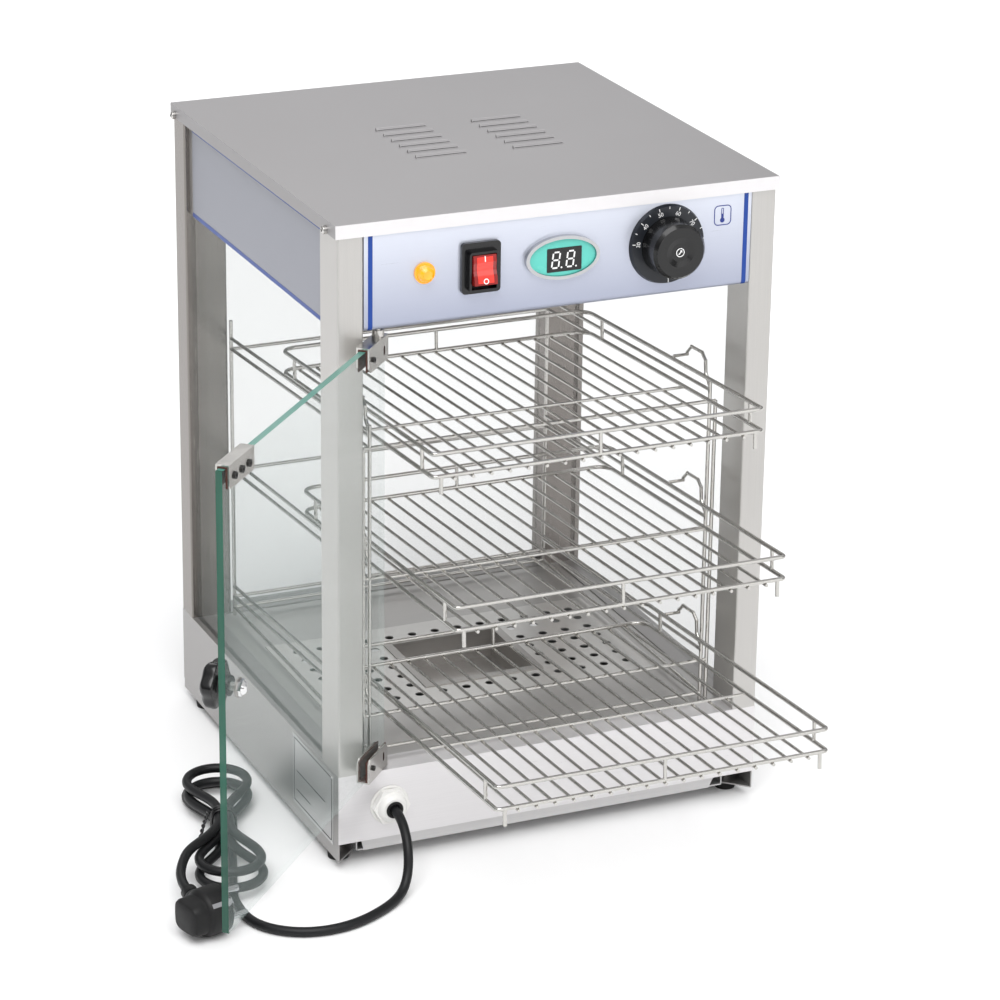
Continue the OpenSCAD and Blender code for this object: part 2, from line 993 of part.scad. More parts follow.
module handle_spacer() {
    color(steel)
        on_door() {
            yrod(handle_x, -15, door_t / 2 + 4, handle_z, 2.98);
            difference() {
                yrod(handle_x, door_t / 2, door_t / 2 + 1.2, handle_z, 7);
                yrod(handle_x, 0, 14, handle_z, 2.98);
            }
        }
}

module handle_nut() {
    color(bright)
        on_door()
            translate([handle_x, door_t / 2 + 1.2, handle_z])
                rotate([-90, 0, 0])
                    difference() {
                        union() {
                            cylinder(r = 6.2, h = 3, $fn = 6);
                            translate([0, 0, 3]) cylinder(r1 = 5,
                                r2 = 3.8, h = 1.8, $fn = 40);
                            translate([0, 0, 4.8]) cylinder(r1 = 3.8,
                                r2 = 1.4, h = 1, $fn = 40);
                        }
                        translate([0, 0, -1]) cylinder(r = 3.02, h = 4,
                            $fn = 32);
                    }
}

// ---------- supply cord ----------
run_pts = [
    [-134, -188, 50], [-134.1, -195.5, 49.3], [-134.5, -203.5, 46.9],
    [-135.2, -211.2, 42.6], [-136.1, -217.8, 36.6], [-137.5, -223.5, 29], [-139, -227, 20.5],
    [-142, -231, 13], [-147, -236, 7.4], [-154, -241.5, 4.6],
    [-163, -248, 3.8], [-176, -256, 3.8], [-190, -262.5, 3.8],
    [-205, -266.5, 3.8], [-221, -267, 3.8], [-236, -263.5, 3.8],
    [-249, -256, 3.8], [-259, -245.5, 3.8], [-265, -232.5, 3.8],
    [-267, -219, 3.8], [-266.5, -207, 3.8], [-265.6, -196.2, 3.8]
];
tail_pts = [
    [-302, -198, 19], [-302, -190, 18.8], [-301, -181, 18.4],
    [-299, -172, 18.2], [-295.5, -163, 18.4], [-290.5, -154, 19.2],
    [-284.5, -146, 20.4], [-277.6, -139, 21.6]
];
tube_n = 10;

function tangent(p, i) =
    let (a = p[max(i - 1, 0)], b = p[min(i + 1, len(p) - 1)])
        (b - a) / norm(b - a);

function ring(p, i) =
    let (
        t = tangent(p, i),
        s0 = cross(t, [0.02, 0.05, 1]),
        s = s0 / norm(s0),
        u = cross(s, t)
    )
        [for (k = [0:tube_n - 1])
            p[i] + cord_r * (cos(k * 360 / tube_n) * s
                + sin(k * 360 / tube_n) * u)];

module tube(p) {
    n = len(p);
    pts = [for (i = [0:n - 1]) for (q = ring(p, i)) q];
    sides = [for (i = [0:n - 2]) for (k = [0:tube_n - 1])
        let (a = i * tube_n + k, b = i * tube_n + (k + 1) % tube_n)
            [a, a + tube_n, b + tube_n, b]];
    cap0 = [for (k = [0:tube_n - 1]) k];
    cap1 = [for (k = [tube_n - 1:-1:0]) (n - 1) * tube_n + k];
    polyhedron(points = pts, faces = concat(sides, [cap0, cap1]));
}

module cord_run() {
    color(dark)
        translate([0, cord_dy, 0]) {
            tube(run_pts);
            tube(tail_pts);
        }
}

module cord_hank() {
    v = hank_b - hank_a;
    l = norm(v);
    color(dark)
        translate([hank_a[0], hank_a[1], 0])
            rotate([0, 0, atan2(v[1], v[0])])
                union() {
                    block(0, l, -hank_r, hank_r, 0, hank_h);
                    cylinder(r = hank_r, h = hank_h, $fn = 48);
                    translate([l, 0, 0])
                        cylinder(r = hank_r, h = hank_h, $fn = 48);
                }
}

module plug_body() {
    c = plug_c;
    color(dark)
        union() {
            translate(c) rotate([0, 0, plug_turn]) {
                xrod(-6, 14, 0, 0, 18.5);
                xrod(-18, -5, 0, 0, 15);
            }
            translate(c) rotate([-90, 0, 0])
                cylinder(r1 = 11, r2 = 6.5, h = 26, $fn = 40);
            translate([c[0], c[1] + 25.5, c[2]]) rotate([-90, 0, 0])
                cylinder(r1 = 6, r2 = 4.6, h = 10.5, $fn = 32);
        }
}

module plug_pins() {
    color(steel)
        translate(plug_c) rotate([0, 0, plug_turn])
            for (s = [-1, 1])
                xrod(14, 33, s * 5.7, s * 7.6, 2.4);
}

top_cover();
cover_screws();
posts_front();
posts_back();
control_panel();
fascia_left();
fascia_right();
fascia_back();
ceiling();
glass_left();
glass_right();
glass_back();
base_front();
base_sides();
base_back();
bottom_pan();
floor_sheet();
floor_plate();
feet();
foot_screws();
foot_nuts();
water_tray();
heating_element();
element_clips();
terminal_block();
rating_plate();
rack_left();
rack_right();
rack_bars();
rack_hooks();
heat_lamp();
lamp_body();
switch_housing();
rocker();
display_bezel();
display_window();
display_module();
dial_knob();
dial_skirt();
dial_shaft();
thermostat();
magnet_catch();
gland_nuts();
gland_dome();
door_glass();
hinge_clamps();
hinge_pins();
strike_clamp();
clamp_pads();
clamp_screws();
handle_knob();
handle_spacer();
handle_nut();
shelf_top();
shelf_middle();
shelf_bottom();
cord_run();
cord_hank();
plug_body();
plug_pins();
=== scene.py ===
"""Countertop hot food display case: the looks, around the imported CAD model.

Everything is in metres, in the CAD's own frame: X right, Y back, Z up.
"""
import math

import bmesh
import bpy
from mathutils import Matrix, Vector


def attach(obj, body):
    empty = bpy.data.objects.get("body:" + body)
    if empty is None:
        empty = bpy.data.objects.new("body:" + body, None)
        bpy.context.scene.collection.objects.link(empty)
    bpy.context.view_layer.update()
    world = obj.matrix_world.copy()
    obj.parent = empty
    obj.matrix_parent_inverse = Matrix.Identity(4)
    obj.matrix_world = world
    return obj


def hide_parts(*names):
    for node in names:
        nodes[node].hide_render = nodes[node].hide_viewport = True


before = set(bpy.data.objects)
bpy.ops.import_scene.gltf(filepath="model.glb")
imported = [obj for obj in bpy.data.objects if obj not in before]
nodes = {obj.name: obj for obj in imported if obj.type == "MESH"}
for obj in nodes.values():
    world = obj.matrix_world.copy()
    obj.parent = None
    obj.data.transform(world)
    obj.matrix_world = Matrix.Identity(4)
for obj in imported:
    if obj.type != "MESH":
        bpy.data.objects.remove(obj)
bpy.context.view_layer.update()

MM = 0.001
EVEN = (1, 1, 1)
# the brush grain runs along the short scale
BRUSH_X = (3, 300, 300)
BRUSH_Y = (300, 3, 300)
BRUSH_Z = (300, 300, 3)
# radius that closes a lathed end without a pole
AXIS = 0.0001
# first sockets of the Mix node
MIX_NUMBER_IN, MIX_COLOR_IN = 2, 6
MIX_NUMBER_OUT, MIX_COLOR_OUT = 0, 2


# ---------------------------------------------------------------- camera
def add_camera():
    yaw, pitch, roll = (math.radians(a) for a in (23.932, 21.182, 0.795))
    ahead = Vector((math.sin(yaw) * math.cos(pitch),
                    math.cos(yaw) * math.cos(pitch), -math.sin(pitch)))
    side = Vector((math.cos(yaw), -math.sin(yaw), 0))
    up = side.cross(ahead)
    right = side * math.cos(roll) + up * math.sin(roll)
    top = up * math.cos(roll) - side * math.sin(roll)
    data = bpy.data.cameras.new("camera")
    data.sensor_width = 36
    data.lens = 135.26
    data.clip_end = 30
    cam = bpy.data.objects.new("camera", data)
    m = Matrix.Identity(4)
    for i, v in enumerate((right, top, -ahead)):
        for j in range(3):
            m[j][i] = v[j]
    m.translation = Vector((-1.09998, -2.55168, 1.29040))
    cam.matrix_world = m
    bpy.context.scene.collection.objects.link(cam)
    bpy.context.scene.camera = cam


add_camera()


# ---------------------------------------------------------------- shaders
def base_material(name):
    m = bpy.data.materials.new(name)
    m.use_nodes = True
    return m, m.node_tree, m.node_tree.nodes["Principled BSDF"]


def coords(tree, scale):
    tc = tree.nodes.new("ShaderNodeTexCoord")
    mp = tree.nodes.new("ShaderNodeMapping")
    mp.inputs["Scale"].default_value = scale
    tree.links.new(tc.outputs["Object"], mp.inputs["Vector"])
    return mp.outputs["Vector"]


def noise(tree, vector, scale, detail=3.0, rough=0.55):
    n = tree.nodes.new("ShaderNodeTexNoise")
    n.inputs["Scale"].default_value = scale
    n.inputs["Detail"].default_value = detail
    n.inputs["Roughness"].default_value = rough
    tree.links.new(vector, n.inputs["Vector"])
    return n.outputs["Fac"]


def ramp(tree, fac, c0, c1, p0=0.3, p1=0.7):
    r = tree.nodes.new("ShaderNodeValToRGB")
    r.color_ramp.elements[0].position = p0
    r.color_ramp.elements[1].position = p1
    r.color_ramp.elements[0].color = (*c0, 1)
    r.color_ramp.elements[1].color = (*c1, 1)
    tree.links.new(fac, r.inputs["Fac"])
    return r.outputs["Color"]


def remap(tree, fac, lo, hi):
    n = tree.nodes.new("ShaderNodeMapRange")
    n.inputs["To Min"].default_value = lo
    n.inputs["To Max"].default_value = hi
    tree.links.new(fac, n.inputs["Value"])
    return n.outputs["Result"]


def span(tree, value, start, end):
    """0 at start, rising to 1 at end."""
    n = tree.nodes.new("ShaderNodeMapRange")
    n.inputs["From Min"].default_value = start
    n.inputs["From Max"].default_value = end
    tree.links.new(value, n.inputs["Value"])
    return n.outputs["Result"]


def multiply(tree, a, b):
    """Product of two colours."""
    mix = tree.nodes.new("ShaderNodeMix")
    mix.data_type = "RGBA"
    mix.blend_type = "MULTIPLY"
    mix.inputs["Factor"].default_value = 1.0
    tree.links.new(a, mix.inputs[MIX_COLOR_IN])
    tree.links.new(b, mix.inputs[MIX_COLOR_IN + 1])
    return mix.outputs[MIX_COLOR_OUT]


def bump(tree, fac, strength, distance):
    b = tree.nodes.new("ShaderNodeBump")
    b.inputs["Strength"].default_value = strength
    b.inputs["Distance"].default_value = distance
    tree.links.new(fac, b.inputs["Height"])
    return b.outputs["Normal"]


def shade(color, k):
    return tuple(max(0.0, min(1.0, c * k)) for c in color)


def srgb(hexa):
    out = []
    for i in (0, 2, 4):
        c = int(hexa[i:i + 2], 16) / 255
        out.append(c / 12.92 if c <= 0.04045 else ((c + 0.055) / 1.055) ** 2.4)
    return tuple(out)


def brushed(name, color, rough, metallic, grain, contrast):
    """Brushed sheet: fine lines along the grain over a soft, cloudy tone."""
    m, t, p = base_material(name)
    p.inputs["Metallic"].default_value = metallic
    lines = noise(t, coords(t, grain), 6.0, 4.0, 0.6)
    cloud = noise(t, coords(t, EVEN), 5.0, 2.0)
    col = ramp(t, lines, shade(color, 1 - contrast),
               shade(color, 1 + contrast))
    tone = ramp(t, cloud, (0.97, 0.97, 0.97), (1, 1, 1))
    t.links.new(multiply(t, col, tone), p.inputs["Base Color"])
    t.links.new(remap(t, lines, rough - 0.06, rough + 0.08),
                p.inputs["Roughness"])
    t.links.new(bump(t, lines, 0.12, 0.00005), p.inputs["Normal"])
    return m


def polished(name, color, rough=0.1):
    """Plated metal: bright, with faint handling marks in its gloss."""
    m, t, p = base_material(name)
    p.inputs["Metallic"].default_value = 1.0
    marks = noise(t, coords(t, EVEN), 90.0, 3.0)
    t.links.new(ramp(t, marks, shade(color, 0.94), color),
                p.inputs["Base Color"])
    t.links.new(remap(t, marks, max(0.02, rough - 0.04), rough + 0.1),
                p.inputs["Roughness"])
    return m


def moulded(name, color, rough=0.35, grain=900.0, depth=0.00004, coat=0.0,
            vary=0.12):
    """Moulded plastic or rubber: even colour with a fine skin."""
    m, t, p = base_material(name)
    p.inputs["Coat Weight"].default_value = coat
    p.inputs["Coat Roughness"].default_value = 0.08
    p.inputs["Specular IOR Level"].default_value = 0.35
    fine = noise(t, coords(t, EVEN), grain, 2.0)
    slow = noise(t, coords(t, EVEN), 25.0, 2.0)
    t.links.new(ramp(t, slow, shade(color, 1 - vary), shade(color, 1 + vary)),
                p.inputs["Base Color"])
    t.links.new(remap(t, slow, max(0.03, rough - 0.06), rough + 0.08),
                p.inputs["Roughness"])
    t.links.new(bump(t, fine, 0.25, depth), p.inputs["Normal"])
    return m


def lens(name, color, rough=0.08, glow=0.25):
    """Tinted clear plastic, lit a little from inside itself."""
    m, t, p = base_material(name)
    slow = noise(t, coords(t, EVEN), 120.0, 2.0)
    col = ramp(t, slow, shade(color, 0.8), shade(color, 1.1))
    t.links.new(col, p.inputs["Base Color"])
    p.inputs["Roughness"].default_value = rough
    p.inputs["Coat Weight"].default_value = 0.6
    p.inputs["Emission Color"].default_value = (*color, 1)
    p.inputs["Emission Strength"].default_value = glow
    return m


def beyond(tree, axis, start):
    """1 where the point lies further along axis than start."""
    tc = tree.nodes.new("ShaderNodeTexCoord")
    dot = tree.nodes.new("ShaderNodeVectorMath")
    dot.operation = "DOT_PRODUCT"
    dot.inputs[1].default_value = axis
    tree.links.new(tc.outputs["Object"], dot.inputs[0])
    return span(tree, dot.outputs["Value"], start, start + 0.0005)


def flat_mask(tree, normal, axis):
    """1 where the surface faces along axis or against it, 0 elsewhere."""
    dot = tree.nodes.new("ShaderNodeVectorMath")
    dot.operation = "DOT_PRODUCT"
    dot.inputs[1].default_value = axis
    tree.links.new(normal, dot.inputs[0])
    size = tree.nodes.new("ShaderNodeMath")
    size.operation = "ABSOLUTE"
    tree.links.new(dot.outputs["Value"], size.inputs[0])
    return span(tree, size.outputs[0], 0.5, 0.8)


def blend(tree, kind, fac, a, b):
    """Mix of two colours or two numbers; a and b are sockets or values."""
    mix = tree.nodes.new("ShaderNodeMix")
    mix.data_type = kind
    tree.links.new(fac, mix.inputs["Factor"])
    slot = MIX_COLOR_IN if kind == "RGBA" else MIX_NUMBER_IN
    for i, v in enumerate((a, b)):
        if isinstance(v, bpy.types.NodeSocket):
            tree.links.new(v, mix.inputs[slot + i])
        else:
            mix.inputs[slot + i].default_value = v
    return mix.outputs[MIX_COLOR_OUT if kind == "RGBA" else MIX_NUMBER_OUT]


def pane_material(name, tint, flat, edges=None, clear=0.10):
    """Float glass: clear through its faces, deep green in its free edge."""
    m, t, p = base_material(name)
    p.inputs["Roughness"].default_value = 0.02
    p.inputs["IOR"].default_value = 1.5
    tc = t.nodes.new("ShaderNodeTexCoord")
    normal = tc.outputs["Normal"]
    face = flat_mask(t, normal, flat)
    col, opaque = (*EDGE_PALE, 1), 0.15
    depth = noise(t, coords(t, (30, 30, 2)), 5.0, 2.0)
    edge = ramp(t, depth, shade(EDGE_DARK, 0.75), shade(EDGE_DARK, 1.2))
    if edges:
        axis, start, top_z = edges
        # the green of the edge is the glass's own; the lighter teal of the top
        # edge is painted light
        top = beyond(t, (0, 0, 1), top_z)
        col = blend(t, "RGBA", top, col, (*EDGE_TOP_LIT, 1))
        opaque = blend(t, "FLOAT", top, opaque, 0.85)
        free = beyond(t, axis, start)
        col = blend(t, "RGBA", free, col, edge)
        opaque = blend(t, "FLOAT", free, opaque, 0.97)
    slow = noise(t, coords(t, EVEN), 3.0, 1.0)
    sheet = ramp(t, slow, shade(tint, 0.9), tint)
    t.links.new(blend(t, "RGBA", face, col, sheet), p.inputs["Base Color"])
    t.links.new(blend(t, "FLOAT", face, opaque, clear), p.inputs["Alpha"])
    return m


def paler_front(m, axis, start, color):
    """Painted light: a paler tone, as if lit, on what lies further along axis
    than start.
    """
    t = m.node_tree
    p = t.nodes["Principled BSDF"]
    mask = beyond(t, axis, start)
    old = p.inputs["Base Color"].links[0].from_socket
    t.links.new(blend(t, "RGBA", mask, old, (*color, 1)),
                p.inputs["Base Color"])


def graded(name, low, high, z0, z1):
    """Brushed sheet with painted shade: its tone eases from low at z0 to high
    at z1 up its height.
    """
    m = brushed(name, (1, 1, 1), 0.3, 0.6, BRUSH_X, 0.02)
    t = m.node_tree
    p = t.nodes["Principled BSDF"]
    sep = t.nodes.new("ShaderNodeSeparateXYZ")
    tc = t.nodes.new("ShaderNodeTexCoord")
    t.links.new(tc.outputs["Object"], sep.inputs[0])
    tone = ramp(t, span(t, sep.outputs["Z"], z0, z1), low, high, 0.0, 1.0)
    old = p.inputs["Base Color"].links[0].from_socket
    t.links.new(multiply(t, old, tone), p.inputs["Base Color"])
    return m


# ---------------------------------------------------------------- geometry
def finish_piece(ob, body, material, smooth=False):
    if material is not None:
        ob.data.materials.append(material)
    if ob.type == "MESH" and smooth:
        for f in ob.data.polygons:
            f.use_smooth = True
    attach(ob, body)
    return ob


def mesh_piece(name, verts, faces, body, material, smooth=False):
    me = bpy.data.meshes.new(name)
    me.from_pydata([tuple(v) for v in verts], [], faces)
    me.validate()
    bm = bmesh.new()
    bm.from_mesh(me)
    bmesh.ops.recalc_face_normals(bm, faces=bm.faces)
    bm.to_mesh(me)
    bm.free()
    ob = bpy.data.objects.new(name, me)
    bpy.context.scene.collection.objects.link(ob)
    return finish_piece(ob, body, material, smooth)


class Build:
    """Collects closed solids into one mesh."""

    def __init__(self):
        self.v, self.f = [], []

    def add(self, verts, faces, m=None):
        n = len(self.v)
        self.v += [m @ Vector(v) if m else Vector(v) for v in verts]
        self.f += [tuple(i + n for i in f) for f in faces]

    def prism(self, outline, depth, m=None, inner=None):
        """outline in XY, extruded along +Z; inner is a matching hole ring."""
        n = len(outline)
        if inner is None:
            v = [(x, y, z) for z in (0, depth) for x, y in outline]
            f = [tuple(range(n))[::-1], tuple(range(n, 2 * n))]
            f += [(i, (i + 1) % n, n + (i + 1) % n, n + i) for i in range(n)]
        else:
            v = [(x, y, z) for z in (0, depth) for ring in (outline, inner)
                 for x, y in ring]
            f = []
            for i in range(n):
                j = (i + 1) % n
                f += [(i, j, 2 * n + j, 2 * n + i),
                      (n + j, n + i, 3 * n + i, 3 * n + j),
                      (2 * n + i, 2 * n + j, 3 * n + j, 3 * n + i),
                      (j, i, n + i, n + j)]
        self.add(v, f, m)

    def lathe(self, profile, m=None, segments=48):
        """Closed profile of (radius, height) turned about Z."""
        v, f = [], []
        k = len(profile)
        for s in range(segments):
            a = 2 * math.pi * s / segments
            v += [(r * math.cos(a), r * math.sin(a), z) for r, z in profile]
        for s in range(segments):
            q = (s + 1) % segments
            f += [(s * k + i, q * k + i, q * k + i + 1, s * k + i + 1)
                  for i in range(k - 1)]
            f.append((s * k + k - 1, q * k + k - 1, q * k, s * k))
        self.add(v, f, m)

    def rings(self, rings, m=None):
        """Rings with as many points each, skinned and capped."""
        n = len(rings[0])
        last = (len(rings) - 1) * n
        f = [tuple(range(n)), tuple(range(last, last + n))]
        for j in range(len(rings) - 1):
            for i in range(n):
                q = (i + 1) % n
                f.append((j * n + i, j * n + q,
                          (j + 1) * n + q, (j + 1) * n + i))
        self.add([p for ring in rings for p in ring], f, m)

    def tube(self, pts, r, sides=8):
        """Round wire through the points."""
        n = len(pts)
        v, f = [], []
        side = None
        for i, p in enumerate(pts):
            t = (pts[min(i + 1, n - 1)] - pts[max(i - 1, 0)]).normalized()
            if side is None:
                side = t.cross(Vector((0, 0, 1)))
                if side.length < 0.1:
                    side = t.cross(Vector((1, 0, 0)))
            side = (side - t * side.dot(t)).normalized()
            up = side.cross(t)
            for s in range(sides):
                a = 2 * math.pi * s / sides
                v.append(p + r * (math.cos(a) * side + math.sin(a) * up))
        for i in range(n - 1):
            for s in range(sides):
                q = (s + 1) % sides
                f.append((i * sides + s, i * sides + q,
                          (i + 1) * sides + q, (i + 1) * sides + s))
        f.append(tuple(range(sides))[::-1])
        f.append(tuple(range((n - 1) * sides, n * sides)))
        self.add(v, f)

    def box(self, lo, hi, m=None):
        (x0, y0, z0), (x1, y1, z1) = lo, hi
        v = [(x, y, z) for z in (z0, z1) for y in (y0, y1) for x in (x0, x1)]
        f = [(0, 2, 3, 1), (4, 5, 7, 6), (0, 1, 5, 4), (2, 6, 7, 3),
             (0, 4, 6, 2), (1, 3, 7, 5)]
        self.add(v, f, m)

    def piece(self, name, body, material, smooth=False):
        return mesh_piece(name, self.v, self.f, body, material, smooth)


def circle(r, n=48, cx=0.0, cy=0.0):
    return [(cx + r * math.cos(2 * math.pi * i / n),
             cy + r * math.sin(2 * math.pi * i / n)) for i in range(n)]


def rounded(w, h, r, n=6, cx=0.0, cy=0.0):
    out = []
    for sx, sy, a0 in ((1, 1, 0), (-1, 1, 90), (-1, -1, 180), (1, -1, 270)):
        for i in range(n + 1):
            a = math.radians(a0 + 90 * i / n)
            out.append((cx + sx * (w / 2 - r) + r * math.cos(a),
                        cy + sy * (h / 2 - r) + r * math.sin(a)))
    return out


PANEL_Y = -0.177


def on_front(x, z, y=PANEL_Y):
    """Plane on the front: its x right, its y up, its z to the viewer."""
    return Matrix(((1, 0, 0, x), (0, 0, -1, y), (0, 1, 0, z), (0, 0, 0, 1)))


def on_side(side, x, y, z):
    """Plane on the left (side -1) or right (1): its z outwards."""
    return Matrix(((0, 0, side, x), (side, 0, 0, y), (0, 1, 0, z),
                   (0, 0, 0, 1)))


def turn_z(degrees):
    return Matrix.Rotation(math.radians(degrees), 4, "Z")


EDGE_DARK = srgb("15503f")
# painted light: the door's top edge is the same green glass, given a lighter
# teal as if lit from above
EDGE_TOP_LIT = srgb("5b9386")
EDGE_PALE = srgb("c9d8d4")


# ---------------------------------------------------------------- cord
# in mm: from the gland to the hank, and from the plug back to the hank
RUN = [
    (-134, -188, 50), (-134.1, -195.5, 49.3), (-134.5, -203.5, 46.9),
    (-135.2, -211.2, 42.6), (-136.1, -217.8, 36.6), (-137.5, -223.5, 29),
    (-139, -227, 20.5), (-142, -231, 13), (-147, -236, 7.4),
    (-154, -241.5, 4.6),
    (-163, -248, 3.8), (-176, -256, 3.8), (-190, -262.5, 3.8),
    (-205, -266.5, 3.8), (-221, -267, 3.8), (-236, -263.5, 3.8),
    (-249, -256, 3.8), (-259, -245.5, 3.8), (-265, -232.5, 3.8),
    (-267, -219, 3.8), (-266.5, -207, 3.8), (-265.6, -196.2, 3.8)
]
TAIL = [
    (-302, -198, 19), (-302, -190, 18.9), (-301, -181, 18.9),
    (-299, -172, 19.3), (-295.5, -163, 20.3), (-290.5, -154, 21.8),
    (-284.5, -146, 23.5)
]
CORD_R = 3.7
HANK_A = Vector((-258, -169, 0))
HANK_V = Vector((40, 146, 0)).normalized()
HANK_N = Vector((-HANK_V.y, HANK_V.x, 0))
LAYER = 7.8
LOWEST = 3.8
TIE_AT = 75


def hank_point(s, lat, z):
    """Point s along the hank from its near end and lat to its left."""
    p = HANK_A + HANK_V * s + HANK_N * lat
    return (p.x, p.y, z)


def s_bend(s0, s1, lat0, lat1, z0, z1, n=6):
    """Points after s0 up to s1, easing from lat0 to lat1."""
    out = []
    for i in range(1, n + 1):
        u = i / n
        ease = (1 - math.cos(math.pi * u)) / 2
        out.append(hank_point(s0 + (s1 - s0) * u,
                              lat0 + (lat1 - lat0) * ease,
                              z0 + (z1 - z0) * u))
    return out


def fold(centre, r, turn0, z0, z1, n=7):
    """Half a circle at one end of the hank."""
    out = []
    for i in range(1, n + 1):
        a = math.radians(turn0 + 180 * i / n)
        out.append(hank_point(centre + r * math.cos(a), r * math.sin(a),
                              z0 + (z1 - z0) * i / n))
    return out


def hank_route():
    """Three long loops, pinched at the tie, wound upwards layer by layer."""
    half, bend = 4.0, 55
    far = ((151, 24.0), (137, 23.4), (145, 23.8))
    near = ((0, 24.0), (10, 23.4))
    pts = s_bend(-28, 60, 0.2, -half, LOWEST, LOWEST, 9)
    for k in range(3):
        z0 = LOWEST + LAYER * k
        z1 = z0 + LAYER
        c, r = far[k]
        if k > 0:
            c0, r0 = near[k - 1]
            pts += s_bend(c0, c0 + bend, -r0, -half, z0, z0)
        pts += [hank_point(TIE_AT, -half, z0)]
        pts += s_bend(c - bend, c, -half, -r, z0, z0)
        pts += fold(c, r, -90, z0, z0)
        pts += s_bend(c, c - bend, r, half, z0, z0 + 0.40 * LAYER)
        pts += [hank_point(TIE_AT, half, z0 + 0.52 * LAYER)]
        if k < 2:
            c0, r0 = near[k]
            pts += s_bend(c0 + bend, c0, half, r0, z0 + 0.62 * LAYER,
                          z0 + 0.94 * LAYER)
            pts += fold(c0, r0, 90, z0 + 0.94 * LAYER, z1)
        else:
            pts += [hank_point(at, lat, z0 + rise * LAYER)
                    for at, lat, rise in ((60, 4.8, 0.64), (49, 8.4, 0.74),
                                          (38.5, 13.6, 0.80),
                                          (29.5, 19.6, 0.82),
                                          (22, 25.8, 0.76))]
    return pts


def smooth_path(points, step=4):
    """Centripetal curve through the points, a few samples a span."""
    pts = [Vector(p) for p in points]
    pts = [pts[0] * 2 - pts[1]] + pts + [pts[-1] * 2 - pts[-2]]
    out = []
    for i in range(1, len(pts) - 2):
        p0, p1, p2, p3 = pts[i - 1:i + 3]
        t0 = 0.0
        t1 = t0 + (p1 - p0).length ** 0.5
        t2 = t1 + (p2 - p1).length ** 0.5
        t3 = t2 + (p3 - p2).length ** 0.5
        for j in range(step):
            t = t1 + (t2 - t1) * j / step
            a1 = p0 * ((t1 - t) / (t1 - t0)) + p1 * ((t - t0) / (t1 - t0))
            a2 = p1 * ((t2 - t) / (t2 - t1)) + p2 * ((t - t1) / (t2 - t1))
            a3 = p2 * ((t3 - t) / (t3 - t2)) + p3 * ((t - t2) / (t3 - t2))
            b1 = a1 * ((t2 - t) / (t2 - t0)) + a2 * ((t - t0) / (t2 - t0))
            b2 = a2 * ((t3 - t) / (t3 - t1)) + a3 * ((t - t1) / (t3 - t1))
            out.append(b1 * ((t2 - t) / (t2 - t1))
                       + b2 * ((t - t1) / (t2 - t1)))
    out.append(pts[-2])
    return out


def relax(points, rounds, fixed=3):
    """Eases the curve, with the same few points kept at both ends."""
    pts = [Vector(p) for p in points]
    for _ in range(rounds):
        new = list(pts)
        for i in range(fixed, len(pts) - fixed):
            new[i] = pts[i] * 0.5 + (pts[i - 1] + pts[i + 1]) * 0.25
        pts = new
    return pts


def add_cord(material):
    """The cord as one curve; returns it with its length."""
    route = RUN + hank_route() + TAIL[::-1]
    line = relax(smooth_path(route), 3)
    line = [p * MM for p in line]
    length = sum((b - a).length for a, b in zip(line, line[1:]))
    data = bpy.data.curves.new("supply_cord", "CURVE")
    data.dimensions = "3D"
    data.bevel_depth = CORD_R * MM
    data.bevel_resolution = 4
    data.use_fill_caps = True
    sp = data.splines.new("POLY")
    sp.points.add(len(line) - 1)
    for q, p in zip(sp.points, line):
        q.co = (*p, 1)
    sp.use_smooth = True
    ob = bpy.data.objects.new("supply_cord", data)
    bpy.context.scene.collection.objects.link(ob)
    finish_piece(ob, "cabinet", material)
    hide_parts("cord_run", "cord_hank")
    return ob, length


cord_mat = moulded("cord_sheath", srgb("0f1012"), 0.46, 700.0, 0.00003)
plug_mat = moulded("plug_moulding", srgb("0c0c0d"), 0.5, 500.0, 0.00006)
cord_ob, cord_length = add_cord(cord_mat)
print("cord length", round(cord_length, 4))


# ---------------------------------------------------------------- materials
# painted light and shade: the cover is one steel sheet, painted a darker grey
# on its top and a paler tone on its front strip
sheet_top = brushed("cover_top_lit_front", srgb("9f9d9e"), 0.42, 0.5, BRUSH_Y, 0.025)
paler_front(sheet_top, (0, -1, 0), 0.1778, srgb("e4e2e3"))
post_mat = brushed("post_steel", srgb("bebcb9"), 0.32, 0.75, BRUSH_Z, 0.03)
# painted shade: the panel is darker towards its lower bend and lighter towards
# the top
panel_mat = graded("panel_steel", srgb("a9aec0"), srgb("d9dde8"),
                   0.432, 0.505)
# painted shade: the side and back sheets are the same steel as the base front,
# painted a darker grey as if in shade
shaded_side_mat = brushed("side_steel", srgb("a5a3a2"), 0.36, 0.70, BRUSH_Y, 0.03)
base_mat = brushed("base_steel", srgb("dddbdc"), 0.30, 0.55, BRUSH_X, 0.02)
inner_mat = brushed("inner_steel", srgb("bcbab8"), 0.38, 0.75, BRUSH_X, 0.04)
floor_mat = brushed("floor_steel", srgb("dedcd9"), 0.30, 0.75, BRUSH_X, 0.03)
tray_mat = brushed("tray_steel", srgb("b4b1ae"), 0.34, 0.8, BRUSH_X, 0.05)
pan_mat = brushed("pan_steel", srgb("c9c8c8"), 0.36, 0.6, BRUSH_X, 0.04)
wire_mat = polished("wire_chrome", srgb("c6c4c0"), 0.12)
